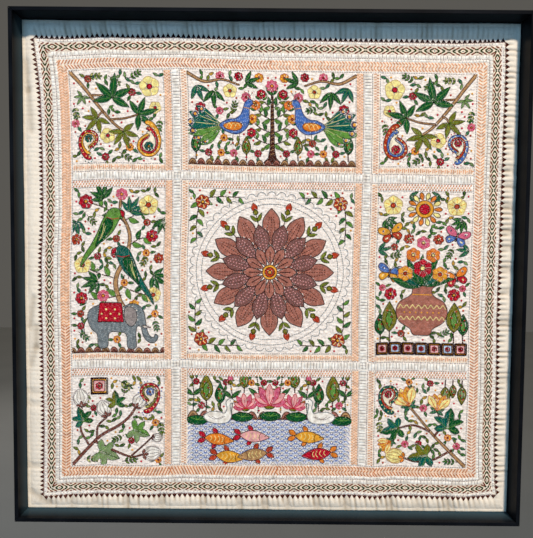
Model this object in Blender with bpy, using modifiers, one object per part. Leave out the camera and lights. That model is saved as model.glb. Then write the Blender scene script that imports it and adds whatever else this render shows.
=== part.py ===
"""A nakshi kantha, a quilted and embroidered cotton cloth, mounted in a deep black box frame.

The frame hangs on a wall and its front faces -Y, with +X to the right and +Z up. The origin is
the middle of the back panel's back face, which lies against the wall. All sizes are in metres
unless a table's own comment says millimetres.
"""
import math

import bmesh
import bpy

# Driving dimensions of the frame
FRAME_SIZE = 1.200
FRAME_DEPTH = 0.057
RAIL_THICKNESS = 0.009
RAIL_EDGE_ROUNDING = 0.0006
PANEL_THICKNESS = 0.006
GAP = 0.0003

# Driving dimensions of the cloth
CLOTH_THICKNESS = 0.0022
CLOTH_CLEARANCE = 0.002
HEM_WIDTH = 0.008
MARGIN_WIDTH = 0.040
EDGE_WAVE = 0.0010

# How far the cloth's front rises over its lowest level
LOWEST_RISE = 0.0008
MARGIN_CROWN = 0.0034
HEM_ROLL = 0.0008
FOLD_REACH = 0.062
FOLD_FULL = 0.030

# Ripples of the cut edge: share of the wave, radians for each metre along it, and the start
EDGE_RIPPLES = (
    (0.6, 17.0, 0.0),
    (0.4, 41.0, 1.0),
)

# The mesh of the cloth: margin rows, cells across the field, and the cuts of each margin cell
MARGIN_ROWS = 3
FIELD_CELLS = 28
MARGIN_CUTS = 2
SHORTEST_CUT_EDGE = 0.020

MM = 0.001

# Troughs that cross the plain margin, in millimetres. The columns are the side, the place along
# it from its middle (to the right or up), the shift from the border to the edge, width and rise.
MARGIN_FOLDS = (
    ("top", -479, -6, 9, -2.0),
    ("top", -433, -8, 10, -2.6),
    ("top", -393, -9, 9, -3.2),
    ("top", -345, -4, 10, -2.2),
    ("top", -292, -5, 10, -3.0),
    ("top", -204, 0, 11, -2.6),
    ("top", -90, 0, 11, -3.2),
    ("top", -38, 0, 10, -2.0),
    ("top", 50, 1, 11, -1.3),
    ("top", 167, 2, 10, -1.9),
    ("top", 250, 2, 10, -2.8),
    ("top", 368, 3, 11, -1.9),
    ("top", 455, 2, 10, -1.3),
    ("bottom", -478, -2, 10, -2.0),
    ("bottom", -422, -1, 11, -2.2),
    ("bottom", -345, 0, 9, -3.2),
    ("bottom", -260, 1, 11, -3.2),
    ("bottom", -158, 1, 10, -2.1),
    ("bottom", -70, 2, 9, -3.0),
    ("bottom", -8, 3, 10, -3.2),
    ("bottom", 48, 5, 10, -3.0),
    ("bottom", 122, 5, 10, -2.8),
    ("bottom", 190, 6, 11, -3.2),
    ("bottom", 301, 7, 10, -3.0),
    ("bottom", 366, 8, 10, -2.2),
    ("bottom", 441, 8, 9, -3.2),
    ("bottom", 509, 6, 11, -1.4),
    ("right", 319, 0, 10, -1.9),
    ("right", 245, 0, 10, -2.1),
    ("right", 207, -1, 9, -2.2),
    ("right", 158, -1, 11, -3.2),
    ("right", 99, 0, 10, -2.6),
    ("right", 60, 0, 9, -2.2),
    ("right", 8, 0, 10, -2.6),
    ("right", -48, 0, 10, -2.4),
    ("right", -120, 1, 11, -2.6),
    ("right", -262, 1, 11, -1.3),
    ("right", -410, 2, 11, -1.3),
    ("left", -303, 4, 10, -2.0),
    ("left", -331, 4, 10, -1.9),
    ("left", -484, 2, 9, -2.4),
)

# Long soft creases that run beside an edge, in millimetres: from, to, width and rise
LONG_CREASES = (
    ((-581, 492), (-577, 425), 8, -2.1),
    ((-576, 425), (-569, 330), 8, -2.0),
    ((-568, -70), (-579, -140), 8, -2.2),
    ((-562, -140), (-564, -190), 8, -2.2),
    ((-564, -190), (-577, -235), 8, -2.0),
    ((-580, -548), (-535, -575), 9, -2.1),
)

# Broad rises and hollows of the stitched field, in millimetres: right, up, radius and rise
FIELD_SWELLS = (
    (-330, 300, 150, 1.5),
    (310, 330, 170, 1.3),
    (-360, -250, 160, 1.4),
    (340, -300, 150, 1.6),
    (0, 20, 190, 1.2),
    (-60, 400, 120, 1.0),
    (60, -420, 130, 1.1),
    (470, 40, 110, 1.2),
    (-470, 30, 120, 0.9),
)

# Materials: colour, roughness and metallic value
FINISHES = {
    "cloth": ((0.78, 0.72, 0.63), 0.95, 0.0),
    "black_paint": ((0.012, 0.013, 0.015), 0.42, 0.0),
    "panel_board": ((0.42, 0.33, 0.23), 0.80, 0.0),
}

# Sizes that follow from the ones above
INNER_HALF = FRAME_SIZE / 2 - RAIL_THICKNESS
CLOTH_HALF = INNER_HALF - CLOTH_CLEARANCE
CLOTH_LEVEL = PANEL_THICKNESS + GAP + CLOTH_THICKNESS


def clear_scene():
    for obj in list(bpy.data.objects):
        bpy.data.objects.remove(obj, do_unlink=True)


def finish_material(name):
    colour, roughness, metallic = FINISHES[name]
    made = bpy.data.materials.new(name)
    made.use_nodes = True
    shader = made.node_tree.nodes["Principled BSDF"]
    shader.inputs["Base Color"].default_value = (*colour, 1.0)
    shader.inputs["Roughness"].default_value = roughness
    shader.inputs["Metallic"].default_value = metallic
    return made


def add_object(name, mesh, collection, material):
    mesh.materials.clear()
    mesh.materials.append(material)
    made = bpy.data.objects.new(name, mesh)
    collection.objects.link(made)
    return made


def box_mesh(name, size, middle):
    """A box from Blender's cube, scaled to its size and set round its middle."""
    bm = bmesh.new()
    bmesh.ops.create_cube(bm, size=1.0)
    bmesh.ops.scale(bm, vec=size, verts=bm.verts)
    bmesh.ops.translate(bm, vec=middle, verts=bm.verts)
    mesh = bpy.data.meshes.new(name)
    bm.to_mesh(mesh)
    bm.free()
    return mesh


def rail_mesh():
    """The top rail: a thin board whose ends are cut to 45 degrees, to meet its neighbours."""
    middle = (0.0, -FRAME_DEPTH / 2, FRAME_SIZE / 2 - RAIL_THICKNESS / 2)
    mesh = box_mesh("rail", (FRAME_SIZE, FRAME_DEPTH, RAIL_THICKNESS), middle)
    end_gap = GAP / math.sqrt(2)
    for vertex in mesh.vertices:
        inward = FRAME_SIZE / 2 - vertex.co.z + end_gap
        vertex.co.x -= math.copysign(inward, vertex.co.x)
    return mesh


def make_rails(collection):
    """Four like rails, turned a quarter from one another about the frame's middle."""
    mesh = rail_mesh()
    paint = finish_material("black_paint")
    for turn, name in enumerate(("rail_top", "rail_right", "rail_bottom", "rail_left")):
        rail = add_object(name, mesh, collection, paint)
        rail.rotation_euler.y = turn * math.pi / 2
        rounding = rail.modifiers.new("rounding", "BEVEL")
        rounding.width = RAIL_EDGE_ROUNDING
        rounding.segments = 1


def make_back_panel(collection):
    side = 2 * (INNER_HALF - GAP)
    mesh = box_mesh("back_panel", (side, PANEL_THICKNESS, side), (0.0, -PANEL_THICKNESS / 2, 0.0))
    return add_object("back_panel", mesh, collection, finish_material("panel_board"))


def ramp(value, start, end):
    """0 before start, 1 after end, and a smooth step between them."""
    t = min(1.0, max(0.0, (value - start) / (end - start)))
    return t * t * (3 - 2 * t)


def hump(distance, width):
    return math.exp(-(distance / width) ** 2)


def side_place(side, u, v):
    """The place along a side, and the distance in from that side's edge."""
    if side == "top":
        return u, CLOTH_HALF - v
    if side == "bottom":
        return u, CLOTH_HALF + v
    if side == "right":
        return v, CLOTH_HALF - u
    return v, CLOTH_HALF + u


def margin_fold_rise(u, v):
    """What the troughs that cross the margins take away at a place."""
    total = 0.0
    for side, at, shift, width, rise in MARGIN_FOLDS:
        along, inward = side_place(side, u, v)
        if inward < FOLD_REACH:
            towards_edge = 1.0 - inward / MARGIN_WIDTH
            across = along - (at + shift * towards_edge) * MM
            strength = 1.0 - ramp(inward, FOLD_FULL, FOLD_REACH)
            total += rise * MM * strength * hump(across, width * MM)
    return total


def crease_rise(u, v):
    """What the long creases take away: troughs round a line from one point to another."""
    total = 0.0
    for (u0, v0), (u1, v1), width, rise in LONG_CREASES:
        du, dv = (u1 - u0) * MM, (v1 - v0) * MM
        pu, pv = u - u0 * MM, v - v0 * MM
        share = min(1.0, max(0.0, (pu * du + pv * dv) / (du * du + dv * dv)))
        distance = math.hypot(pu - share * du, pv - share * dv)
        total += rise * MM * hump(distance, width * MM)
    return total


def swell_rise(u, v):
    return sum(rise * MM * hump(math.hypot(u - right * MM, v - up * MM), radius * MM)
               for right, up, radius, rise in FIELD_SWELLS)


def cloth_rise(u, v):
    """How far the cloth's front stands over its lowest level at a place on its plane."""
    inward = CLOTH_HALF - max(abs(u), abs(v))
    across_margin = min(1.0, max(0.0, (inward - HEM_WIDTH) / (MARGIN_WIDTH - HEM_WIDTH)))
    across_hem = min(1.0, max(0.0, inward / HEM_WIDTH))
    rise = LOWEST_RISE
    rise += MARGIN_CROWN * math.sin(math.pi * across_margin)
    rise += HEM_ROLL * math.sin(math.pi * across_hem / 2)
    rise += swell_rise(u, v)
    rise += margin_fold_rise(u, v) + crease_rise(u, v)
    return max(0.0, rise)


def edge_wave(along):
    """How far the cut edge wanders in from a straight line."""
    ripples = sum(share * math.sin(turns * along + start) for share, turns, start in EDGE_RIPPLES)
    return EDGE_WAVE * (1.0 + ripples)


def grid_lines():
    """Places of the mesh's lines from one edge to the other: close rows in the margins."""
    margin = [HEM_WIDTH + (MARGIN_WIDTH - HEM_WIDTH) * row / MARGIN_ROWS
              for row in range(MARGIN_ROWS + 1)]
    outer = [-CLOTH_HALF] + [inward - CLOTH_HALF for inward in margin]
    start, end = outer[-1], -outer[-1]
    field = [start + (end - start) * cell / FIELD_CELLS for cell in range(1, FIELD_CELLS)]
    return outer + field + [-place for place in reversed(outer)]


def cloth_surface():
    """The front face of the cloth as an open surface, finer along its margins."""
    lines = grid_lines()
    cells = len(lines) - 1
    bm = bmesh.new()
    bmesh.ops.create_grid(bm, x_segments=cells, y_segments=cells, size=0.5)
    for vertex in bm.verts:
        column = round((vertex.co.x + 0.5) * cells)
        row = round((vertex.co.y + 0.5) * cells)
        vertex.co.x, vertex.co.y = lines[column], lines[row]
    margin_line = CLOTH_HALF - MARGIN_WIDTH - GAP
    margin_edges = []
    for edge in bm.edges:
        a, b = edge.verts
        along_x = abs(a.co.x - b.co.x) > SHORTEST_CUT_EDGE and abs(a.co.y) > margin_line
        along_y = abs(a.co.y - b.co.y) > SHORTEST_CUT_EDGE and abs(a.co.x) > margin_line
        if along_x or along_y:
            margin_edges.append(edge)
    bmesh.ops.subdivide_edges(bm, edges=margin_edges, cuts=MARGIN_CUTS, use_grid_fill=True)
    bmesh.ops.triangulate(bm, faces=bm.faces)
    for vertex in bm.verts:
        u, v = vertex.co.x, vertex.co.y
        rise = cloth_rise(u, v)
        u *= 1.0 - edge_wave(v) / CLOTH_HALF * ramp(abs(u), CLOTH_HALF - FOLD_REACH, CLOTH_HALF)
        v *= 1.0 - edge_wave(-u) / CLOTH_HALF * ramp(abs(v), CLOTH_HALF - FOLD_REACH, CLOTH_HALF)
        vertex.co = (u, -(CLOTH_LEVEL + rise), v)
    mesh = bpy.data.meshes.new("kantha")
    bm.to_mesh(mesh)
    bm.free()
    return mesh


def make_kantha(collection):
    """One sheet, as the layers of a kantha are stitched through into a single cloth."""
    kantha = add_object("kantha", cloth_surface(), collection, finish_material("cloth"))
    kantha.data.shade_smooth()
    thickness = kantha.modifiers.new("thickness", "SOLIDIFY")
    thickness.thickness = CLOTH_THICKNESS
    thickness.offset = -1.0
    return kantha


def main():
    clear_scene()
    parts = bpy.data.collections.new("nakshi_kantha_in_box_frame")
    bpy.context.scene.collection.children.link(parts)
    make_rails(parts)
    make_back_panel(parts)
    make_kantha(parts)


main()
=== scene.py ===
"""Looks of a nakshi kantha, a quilted and embroidered cotton cloth, in a deep black box frame.

The needlework is drawn flat, in millimetres from the cloth's middle, s to the right and t up. It
is then moved to where the hand-stitched lines really run, laid on the folded cloth, and turned
into metres. What lies in front is sewn first: later stitches leave its place free.
"""
import math

import bmesh
import bpy
import numpy as np
from mathutils import Matrix, Vector
from mathutils.bvhtree import BVHTree


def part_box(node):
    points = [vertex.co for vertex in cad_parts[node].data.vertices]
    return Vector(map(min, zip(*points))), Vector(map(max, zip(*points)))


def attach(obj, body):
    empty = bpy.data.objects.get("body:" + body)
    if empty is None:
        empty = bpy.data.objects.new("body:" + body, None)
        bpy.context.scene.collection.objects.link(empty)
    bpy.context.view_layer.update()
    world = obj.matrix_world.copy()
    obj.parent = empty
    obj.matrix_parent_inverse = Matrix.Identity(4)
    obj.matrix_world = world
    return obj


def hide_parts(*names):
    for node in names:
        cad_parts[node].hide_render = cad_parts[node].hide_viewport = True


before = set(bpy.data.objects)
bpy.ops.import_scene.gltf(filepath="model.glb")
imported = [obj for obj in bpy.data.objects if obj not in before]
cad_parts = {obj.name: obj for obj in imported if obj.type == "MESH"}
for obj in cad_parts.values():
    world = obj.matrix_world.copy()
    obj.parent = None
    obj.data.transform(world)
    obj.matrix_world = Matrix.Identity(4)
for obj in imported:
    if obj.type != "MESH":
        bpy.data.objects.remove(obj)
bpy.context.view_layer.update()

MM = 0.001
RANDOM = np.random.default_rng(7)

# The cloth's place in the frame, in millimetres
GAP = 0.3
CLOTH_CLEARANCE = 0.8
CLOTH_THICKNESS = 2.2
PANEL_LOW, PANEL_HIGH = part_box("back_panel")
INNER_HALF = PANEL_HIGH[0] / MM + GAP
CLOTH_HALF = INNER_HALF - CLOTH_CLEARANCE
CLOTH_LEVEL = -PANEL_LOW[1] / MM + GAP + CLOTH_THICKNESS
FRAME_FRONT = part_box("rail_top")[0][1]

# How the cloth's front rises over its lowest level, in millimetres
HEM_WIDTH = 8.0
MARGIN_WIDTH = 40.0
EDGE_WAVE = 0.4
LOWEST_RISE = 0.8
MARGIN_CROWN = 3.4
HEM_ROLL = 0.8
SEAM_WIDTH = 1.1
SEAM_DEPTH = 0.3
FOLD_FULL = 28.0
FOLD_REACH = 50.0

# Gathers between the triangles of the border, in millimetres: how deep they are, and how far they
# lean towards the edge, at a side's middle and for each millimetre along it
PUCKER_DEPTH = {"top": 2.4, "right": 3.4, "bottom": 3.2, "left": 0.6}
PUCKER_LEAN = {"top": (-3.0, 0.01), "right": (0.0, 0.0), "bottom": (3.0, 0.01), "left": (0.0, 0.0)}

# Where the gathers start and are full, in from the edge, and the share of their depth left at the
# edge. Then the least share of it that chance leaves one, how rare it makes deep ones, where they
# end, and how they fade round that end and at the mitres.
PUCKER_START = 43.0
PUCKER_FULL = 32.0
PUCKER_EDGE_SHARE = 0.6
PUCKER_LEAST = 0.35
PUCKER_RARITY = 1.5
PUCKER_ENDS = (-12.0, 22.0)
PUCKER_END_FADE = (-10, 12)
MITRE_FADE = (-6.0, 4.0)

# The waves of the cut edge: the share of each, its radians a millimetre and where it starts
EDGE_RIPPLES = ((0.6, 0.017, 0.0), (0.4, 0.041, 1.0))

# The mesh of the cloth: how wide its fine margin is, in millimetres, with how many rows, the cells
# across the field, the cuts of each long edge in the margin, the places of the rows at the hem, and
# the share of a field cell over which an edge counts as long
FINE_WIDTH = 46.0
FINE_ROWS = 9
FIELD_CELLS = 60
FINE_CUTS = 9
HEM_ROWS = (0.0, 2.5, 5.0, 7.0, 8.0, 9.0, 11.0)
LONG_EDGE_SHARE = 0.6

# The cloth's shades: soft edges, in millimetres in from the lines that they follow, how much the
# painted shade along the folds and the gathers darkens it, and the depth that counts as darkest
QUILTED_EDGE = (-3, 2)
STAIN_START = (4, 10)
STAIN_END = (8, 14)
# The soft edge of the painted warm highlight along the hem, in from the edge
HEM_HIGHLIGHT_EDGE = (4.0, 9.0)
FOLD_SHARE = 0.6
GATHER_SHARE = 1.5
DARKEST_DEPTH = 4.0

# Troughs that cross the plain margin, in millimetres. The columns are the place along the side
# from its middle (to the right or up), the shift from the border to the edge, width and rise.
MARGIN_FOLDS = {
    "top": ((-479, -6, 9, -2.0), (-433, -8, 10, -2.6), (-393, -9, 9, -3.2), (-345, -4, 10, -2.2),
            (-292, -5, 10, -3.0), (-204, 0, 11, -2.6), (-90, 0, 11, -3.2), (-38, 0, 10, -2.0),
            (50, 1, 11, -1.3), (167, 2, 10, -1.9), (250, 2, 10, -2.8), (368, 3, 11, -1.9),
            (455, 2, 10, -1.3)),
    "bottom": ((-478, -2, 10, -2.0), (-422, -1, 11, -2.2), (-345, 0, 9, -3.2), (-260, 1, 11, -3.2),
               (-158, 1, 10, -2.1), (-70, 2, 9, -3.0), (-8, 3, 10, -3.2), (48, 5, 10, -3.0),
               (122, 5, 10, -2.8), (190, 6, 11, -3.2), (301, 7, 10, -3.0), (366, 8, 10, -2.2),
               (441, 8, 9, -3.2), (509, 6, 11, -1.4)),
    "right": ((319, 0, 10, -1.9), (245, 0, 10, -2.1), (207, -1, 9, -2.2), (158, -1, 11, -3.2),
              (99, 0, 10, -2.6), (60, 0, 9, -2.2), (8, 0, 10, -2.6), (-48, 0, 10, -2.4),
              (-120, 1, 11, -2.6), (-262, 1, 11, -1.3), (-410, 2, 11, -1.3)),
    "left": ((-303, 4, 10, -2.0), (-331, 4, 10, -1.9), (-484, 2, 9, -2.4)),
}

# Long soft creases that run beside an edge, in millimetres: from, to, width and rise
LONG_CREASES = (
    ((-581, 492), (-577, 425), 8, -2.1), ((-576, 425), (-569, 330), 8, -2.0),
    ((-568, -70), (-579, -140), 8, -2.2), ((-562, -140), (-564, -190), 8, -2.2),
    ((-564, -190), (-577, -235), 8, -2.0), ((-580, -548), (-535, -575), 9, -2.1),
)

# Broad rises of the stitched field, in millimetres: right, up, radius and rise
FIELD_SWELLS = (
    (-330, 300, 150, 1.5), (310, 330, 170, 1.3), (-360, -250, 160, 1.4), (340, -300, 150, 1.6),
    (0, 20, 190, 1.2), (-60, 400, 120, 1.0), (60, -420, 130, 1.1), (470, 40, 110, 1.2),
    (-470, 30, 120, 0.9),
)

# The border's layout: distances of its lines from the cloth's middle, in millimetres
BASE = 550.0
TIP = 559.5
DIAMOND_AXIS = 531.5
DIAMOND_HALF = 9.6
DASHED_LINE = 511.0
BAND_OUT = 504.0
BAND_IN = 481.0
FIELD_HALF = 477.0

# The nested diamonds: how far each reaches along the band, as shares of half a repeat, how far it
# runs along for each millimetre across, and the half width of the green part of the band
DIAMOND_REACHES = (0.36, 0.74, 1.12, 1.5)
WHITE_REACHES = (0.17, 0.55, 0.93, 1.31)
DIAMOND_SLOPE = 1.8
GREEN_HALF = 4.2

# The sides: how many triangles and diamonds each has
SIDES = ("top", "right", "bottom", "left")
TRIANGLES = {"top": 93, "right": 85, "bottom": 88, "left": 101}
DIAMONDS = {"top": 17, "right": 19, "bottom": 18, "left": 18}

# Where the border's outer line really runs: places along a side, and its distance from the middle
TOP_LINE = ((-559, 547), (-486, 545), (-388, 551), (-300, 549), (-224, 551), (-43, 546),
            (135, 545), (242, 544), (371, 543), (440, 542), (489, 544), (548, 546))
BOTTOM_LINE = ((-549, 560), (-486, 555), (-412, 552), (-290, 554), (-211, 550), (-80, 553),
               (97, 551), (207, 550), (256, 553), (303, 549), (474, 553), (518, 549), (562, 544))
LEFT_LINE = ((-556, 550), (-469, 549), (-390, 547), (-194, 548), (-75, 550), (31, 549),
             (138, 544), (249, 544), (337, 545), (423, 548), (469, 552), (516, 558), (547, 561))
RIGHT_LINE = ((-544, 562), (-527, 559), (-475, 556), (-401, 554), (-266, 555), (-124, 552),
              (76, 553), (195, 554), (369, 555), (482, 556), (544, 554))

# How far the lines inside the diamonds run out from where the drawing has them: places along a
# side, and the distance. Then where that shift begins and ends, away from the middle.
INNER_SHIFTS = {
    "top": ((-420, -2.2), (-200, 0.0), (477, 0.0)),
    "right": ((-477, 2.4), (-400, 3.0), (0, 5.3), (450, 5.8)),
    "bottom": ((-300, 0.0), (-40, -4.5), (40, -4.8), (200, -3.0), (477, -2.0)),
    "left": ((-477, 3.0), (-380, 3.0), (0, 1.0), (450, 0.0)),
}
SHIFT_START = (300.0, 470.0)
SHIFT_END = (492.0, 523.0)

# The orange band: the thread under each side, and what is worked over it. The columns are from and
# to along the side, how many columns of stitches (negative where they lean the other way), the
# thread, and the stitches' width and pitch.
ORANGE_BASE = {"top": "shell", "right": "shell", "bottom": "salmon", "left": "salmon"}
ORANGE_LEANS = {1: 0.5, 2: 0.68, 3: 0.8}
ORANGE_WORK = {
    "top": ((-504, 0, 2, "apricot", 2.7, 7.4), (0, 504, 3, "peach", 3.0, 7.4)),
    "right": ((180, 504, 2, "peach", 3.0, 7.6), (-504, 180, 2, "apricot", 2.7, 7.6)),
    "bottom": ((-504, -330, 3, "apricot", 2.6, 7.6), (-330, -240, 1, "apricot", 2.6, 7.4),
               (-240, -130, -1, "apricot", 2.6, 7.4), (-130, 20, 1, "apricot", 2.6, 7.4),
               (20, 260, -3, "apricot", 2.6, 7.6), (260, 504, 2, "apricot", 2.6, 7.6)),
    "left": ((90, 504, 3, "peach", 2.6, 6.6), (-130, 90, 3, "peach", 3.0, 7.2),
             (-504, -130, 2, "apricot", 2.7, 7.6)),
}

# The field's layout, in millimetres: nine panels parted by channels, each with an orange frame
CENTRE_HALF = 200.0
BAR = 16.0
CHANNEL = 23.0
OUTER_PANEL = CENTRE_HALF + 2 * BAR + CHANNEL
PANEL_MIDDLE = (OUTER_PANEL + FIELD_HALF) / 2

# Threads and their colours
THREADS = {
    "snow": "FDF9F4", "white": "F6EFE2", "ecru": "EADFC8", "grey": "8F8785", "slate": "6E797E",
    "mist": "B7BCBE",
    "maroon": "24060A", "oxblood": "451A12", "red_brown": "74341E", "brown": "43221A", "tan": "B08A5C",
    "cocoa": "7A463C", "pine": "12260C", "moss": "27340E", "green": "0E5228", "leaf": "5E8E3C",
    "sage": "7C9668", "teal": "065A50", "olive": "72701E",
    "shell": "F1DAC4", "salmon": "EFC5A2", "peach": "D89D76", "apricot": "BF774E",
    "terracotta": "A4695A", "mauve": "76504C",
    "rust": "AE3C1E", "red": "B4142C", "orange": "DA7A26", "gold": "DDA032", "yellow": "EFE296",
    "blue": "4068B0", "pale_blue": "A9BEDA", "navy": "1A2350", "pink": "CA5A7C", "rose": "E2A6A6",
    "black": "100E10",
}

# The thread that edges a petal of each colour
PETAL_EDGES = {"red": "maroon", "gold": "rust", "yellow": "tan", "pink": "red", "rust": "maroon",
               "orange": "rust", "blue": "navy", "teal": "pine"}

# The second tone worked in short stitches over a fill of each colour
FLECKS = {"slate": "mist", "terracotta": "mauve", "mauve": "terracotta", "blue": "pale_blue",
          "teal": "green", "green": "pine", "leaf": "green", "sage": "olive", "olive": "moss",
          "tan": "cocoa", "red": "maroon", "gold": "orange", "yellow": "gold", "pink": "rose",
          "orange": "gold", "rust": "red"}

# Sizes of the stitches, in millimetres: a pitch lies between rows, a lift is over the cloth
FILL_PITCH = 1.8
DISC_PITCH = 1.5
FILL_LENGTH = 6.5
SHORTEST_END = 0.8
EDGE_LENGTH = 4.0
LINE_LENGTH = 5.0
LINE_WIDTH = 2.0
GROUND_PITCH = 5.9
GROUND_STITCH = 5.6
GROUND_SPACE = 3.2
GROUND_WIDTH = 2.8
CHANNEL_PITCH = 7.4
STITCH_HEIGHT = 0.45
KNOT_HEIGHT = 0.6
PLUMP_HEIGHT = 0.8
STROKE_HEIGHT = 0.9
BAND_PITCH = 1.9
BAND_STITCH = 7.0
FILL_LIFT = 0.16
FLECK_PITCH = 3.8
FLECK_LENGTH = 5.5
FLECK_WIDTH = 1.3
FLECK_LIFT = 0.3
OVER_LIFT = 0.45
SINK = 0.12
JITTER = 0.18
RAY_START = 80.0

# How far chance moves things, either way: a triangle's tip, the places of the white stitches and
# how far they lean, and the ground's stitches along and across their row, in length and in tilt
TIP_WANDER = 0.8
CROSS_WANDER = 1.8
CROSS_LEAN = (-0.8, 1.8)
CHANNEL_WANDER = 0.6
CHANNEL_LEAN = 0.8
GROUND_WANDERS = (0.8, 0.4, 0.9, 0.3)

# The white stitches across a channel: how far they stay from its sides and from one another. Then
# the shares of the painted-shade strokes between white stitches that are grey, across rows and channels.
CHANNEL_MARGIN = 2.6
CHANNEL_SPACE = 1.4
CROSS_GREY_SHARE = 0.4
CHANNEL_GREY_SHARE = 0.55

# The grey rows: their stitches, the gaps between them in the border and beside the bars, and width
GREY_LENGTH = 5.0
GREY_GAP = 0.6
BAR_GREY_GAP = 0.4
GREY_WIDTH = 1.9

# The rows of short white stitches in the border: distance from the middle, pitch, length and width
CROSS_ROWS = (
    (BASE - 4.4, 8.0, 4.6, 7.0),
    (DASHED_LINE + 5.4, 8.2, 8.4, 7.2),
    (DASHED_LINE - 4.0, 8.2, 5.6, 7.2),
)

# Forms of a stitch: its points, as the share of its length, of its half width, and of its rise
# (negative where an end dips into the cloth), and the triangles between them
FORMS = {
    "lozenge": (np.array([(0, 0, -1), (0.5, 1, 0), (1, 0, -1), (0.5, -1, 0), (0.5, 0, 1)]),
                np.array([(0, 4, 1), (1, 4, 2), (2, 4, 3), (3, 4, 0)])),
    "bar": (np.array([(0, 0, -1), (0.14, 1, 0), (0.14, 0, 1), (0.14, -1, 0),
                      (0.86, 1, 0), (0.86, 0, 1), (0.86, -1, 0), (1, 0, -1)]),
            np.array([(0, 2, 1), (0, 3, 2), (1, 2, 5), (1, 5, 4), (2, 3, 6), (2, 6, 5), (7, 4, 5),
                      (7, 5, 6)])),
}


def linear(hex_colour):
    """A colour written as six hexadecimal digits, as linear red, green and blue, by the sRGB curve."""
    shares = [int(hex_colour[i:i + 2], 16) / 255 for i in (0, 2, 4)]
    return [share / 12.92 if share <= 0.04045 else ((share + 0.055) / 1.055) ** 2.4
            for share in shares]


# The folded cloth

def ramp(value, start, end):
    """0 before start, 1 after end, and a smooth step between them."""
    t = np.clip((value - start) / (end - start), 0.0, 1.0)
    return t * t * (3 - 2 * t)


def hump(distance, width):
    return np.exp(-(distance / width) ** 2)


def side_place(side, u, v):
    """The place along a side, and the distance in from that side's edge."""
    place, out = {"top": (u, v), "bottom": (u, -v), "right": (v, u), "left": (v, -u)}[side]
    return place, CLOTH_HALF - out


def read_line(line, places):
    """Distances at places along a line that is written as places and distances."""
    return np.interp(places, *zip(*line))


def end_lines(side):
    """The border lines that a side's own line meets at its start and at its end."""
    return (LEFT_LINE, RIGHT_LINE) if side in ("top", "bottom") else (BOTTOM_LINE, TOP_LINE)


def drawn_place(side, place):
    """The place in the drawing of a place along the real border line of a side."""
    reach = BASE if side in ("top", "right") else -BASE
    start_line, end_line = end_lines(side)
    start, end = -read_line(start_line, reach), read_line(end_line, reach)
    return -BASE + (place - start) / (end - start) * 2 * BASE


def margin_fold_rise(u, v):
    """What the troughs that cross the margins take away."""
    total = np.zeros_like(u)
    for side, folds in MARGIN_FOLDS.items():
        place, inward = side_place(side, u, v)
        towards_edge = 1.0 - inward / MARGIN_WIDTH
        strength = 1.0 - ramp(inward, FOLD_FULL, FOLD_REACH)
        for middle, shift, width, rise in folds:
            total += rise * strength * hump(place - middle - shift * towards_edge, width)
    return total


def crease_rise(u, v):
    """What the long creases take away: troughs round a line from one point to another."""
    total = np.zeros_like(u)
    for (u0, v0), (u1, v1), width, rise in LONG_CREASES:
        du, dv = u1 - u0, v1 - v0
        share = np.clip(((u - u0) * du + (v - v0) * dv) / (du * du + dv * dv), 0.0, 1.0)
        total += rise * hump(np.hypot(u - u0 - share * du, v - v0 - share * dv), width)
    return total


def pucker_rise(u, v):
    """What the gathers take away: one trough from each triangle's tip towards the edge."""
    total = np.zeros_like(u)
    for side in SIDES:
        count = TRIANGLES[side]
        random = np.random.default_rng(count)
        chances = random.random(count) ** PUCKER_RARITY
        depth = PUCKER_DEPTH[side] * (PUCKER_LEAST + (1 - PUCKER_LEAST) * chances)
        ends = random.uniform(*PUCKER_ENDS, count)
        place, inward = side_place(side, u, v)
        lean = PUCKER_LEAN[side][0] + PUCKER_LEAN[side][1] * place
        source = place - lean * (1.0 - inward / MARGIN_WIDTH)
        phase = (drawn_place(side, source) + BASE) / (2 * BASE) * count
        number = np.clip(np.floor(phase).astype(int), 0, count - 1)
        trough = (0.5 - 0.5 * np.cos(2 * math.pi * phase)) ** 2
        strength = ramp(inward, PUCKER_START, PUCKER_FULL)
        strength = strength * ramp(inward, *[ends[number] + away for away in PUCKER_END_FADE])
        strength = strength * (PUCKER_EDGE_SHARE + (1 - PUCKER_EDGE_SHARE) * inward / PUCKER_FULL)
        mitre = ramp(CLOTH_HALF - np.abs(place) - inward, *MITRE_FADE)
        total -= depth[number] * trough * strength * mitre
    return total


def cloth_rise(u, v):
    """How far the cloth's front stands over its lowest level at places on its plane."""
    inward = CLOTH_HALF - np.maximum(np.abs(u), np.abs(v))
    across_margin = np.clip((inward - HEM_WIDTH) / (MARGIN_WIDTH - HEM_WIDTH), 0.0, 1.0)
    across_hem = np.clip(inward / HEM_WIDTH, 0.0, 1.0)
    rise = LOWEST_RISE + MARGIN_CROWN * np.sin(math.pi * across_margin)
    rise += HEM_ROLL * np.sin(math.pi * across_hem / 2)
    rise -= SEAM_DEPTH * hump(inward - HEM_WIDTH, SEAM_WIDTH)
    for right, up, radius, swell in FIELD_SWELLS:
        rise += swell * hump(np.hypot(u - right, v - up), radius)
    rise += margin_fold_rise(u, v) + crease_rise(u, v) + pucker_rise(u, v)
    return np.maximum(0.0, rise)


def edge_wave(places):
    """How far the cut edge wanders in from a straight line."""
    wave = 1.0
    for share, rate, start in EDGE_RIPPLES:
        wave = wave + share * np.sin(rate * places + start)
    return EDGE_WAVE * wave


def grid_lines():
    """Places of the mesh's lines from one edge to the other: close rows at the hem and margins."""
    margin = list(np.linspace(HEM_ROWS[-1], FINE_WIDTH, FINE_ROWS + 1))[1:]
    outer = [inward - CLOTH_HALF for inward in (*HEM_ROWS, *margin)]
    field = list(np.linspace(outer[-1], -outer[-1], FIELD_CELLS + 1))[1:-1]
    return outer + field + [-place for place in reversed(outer)]


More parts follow.
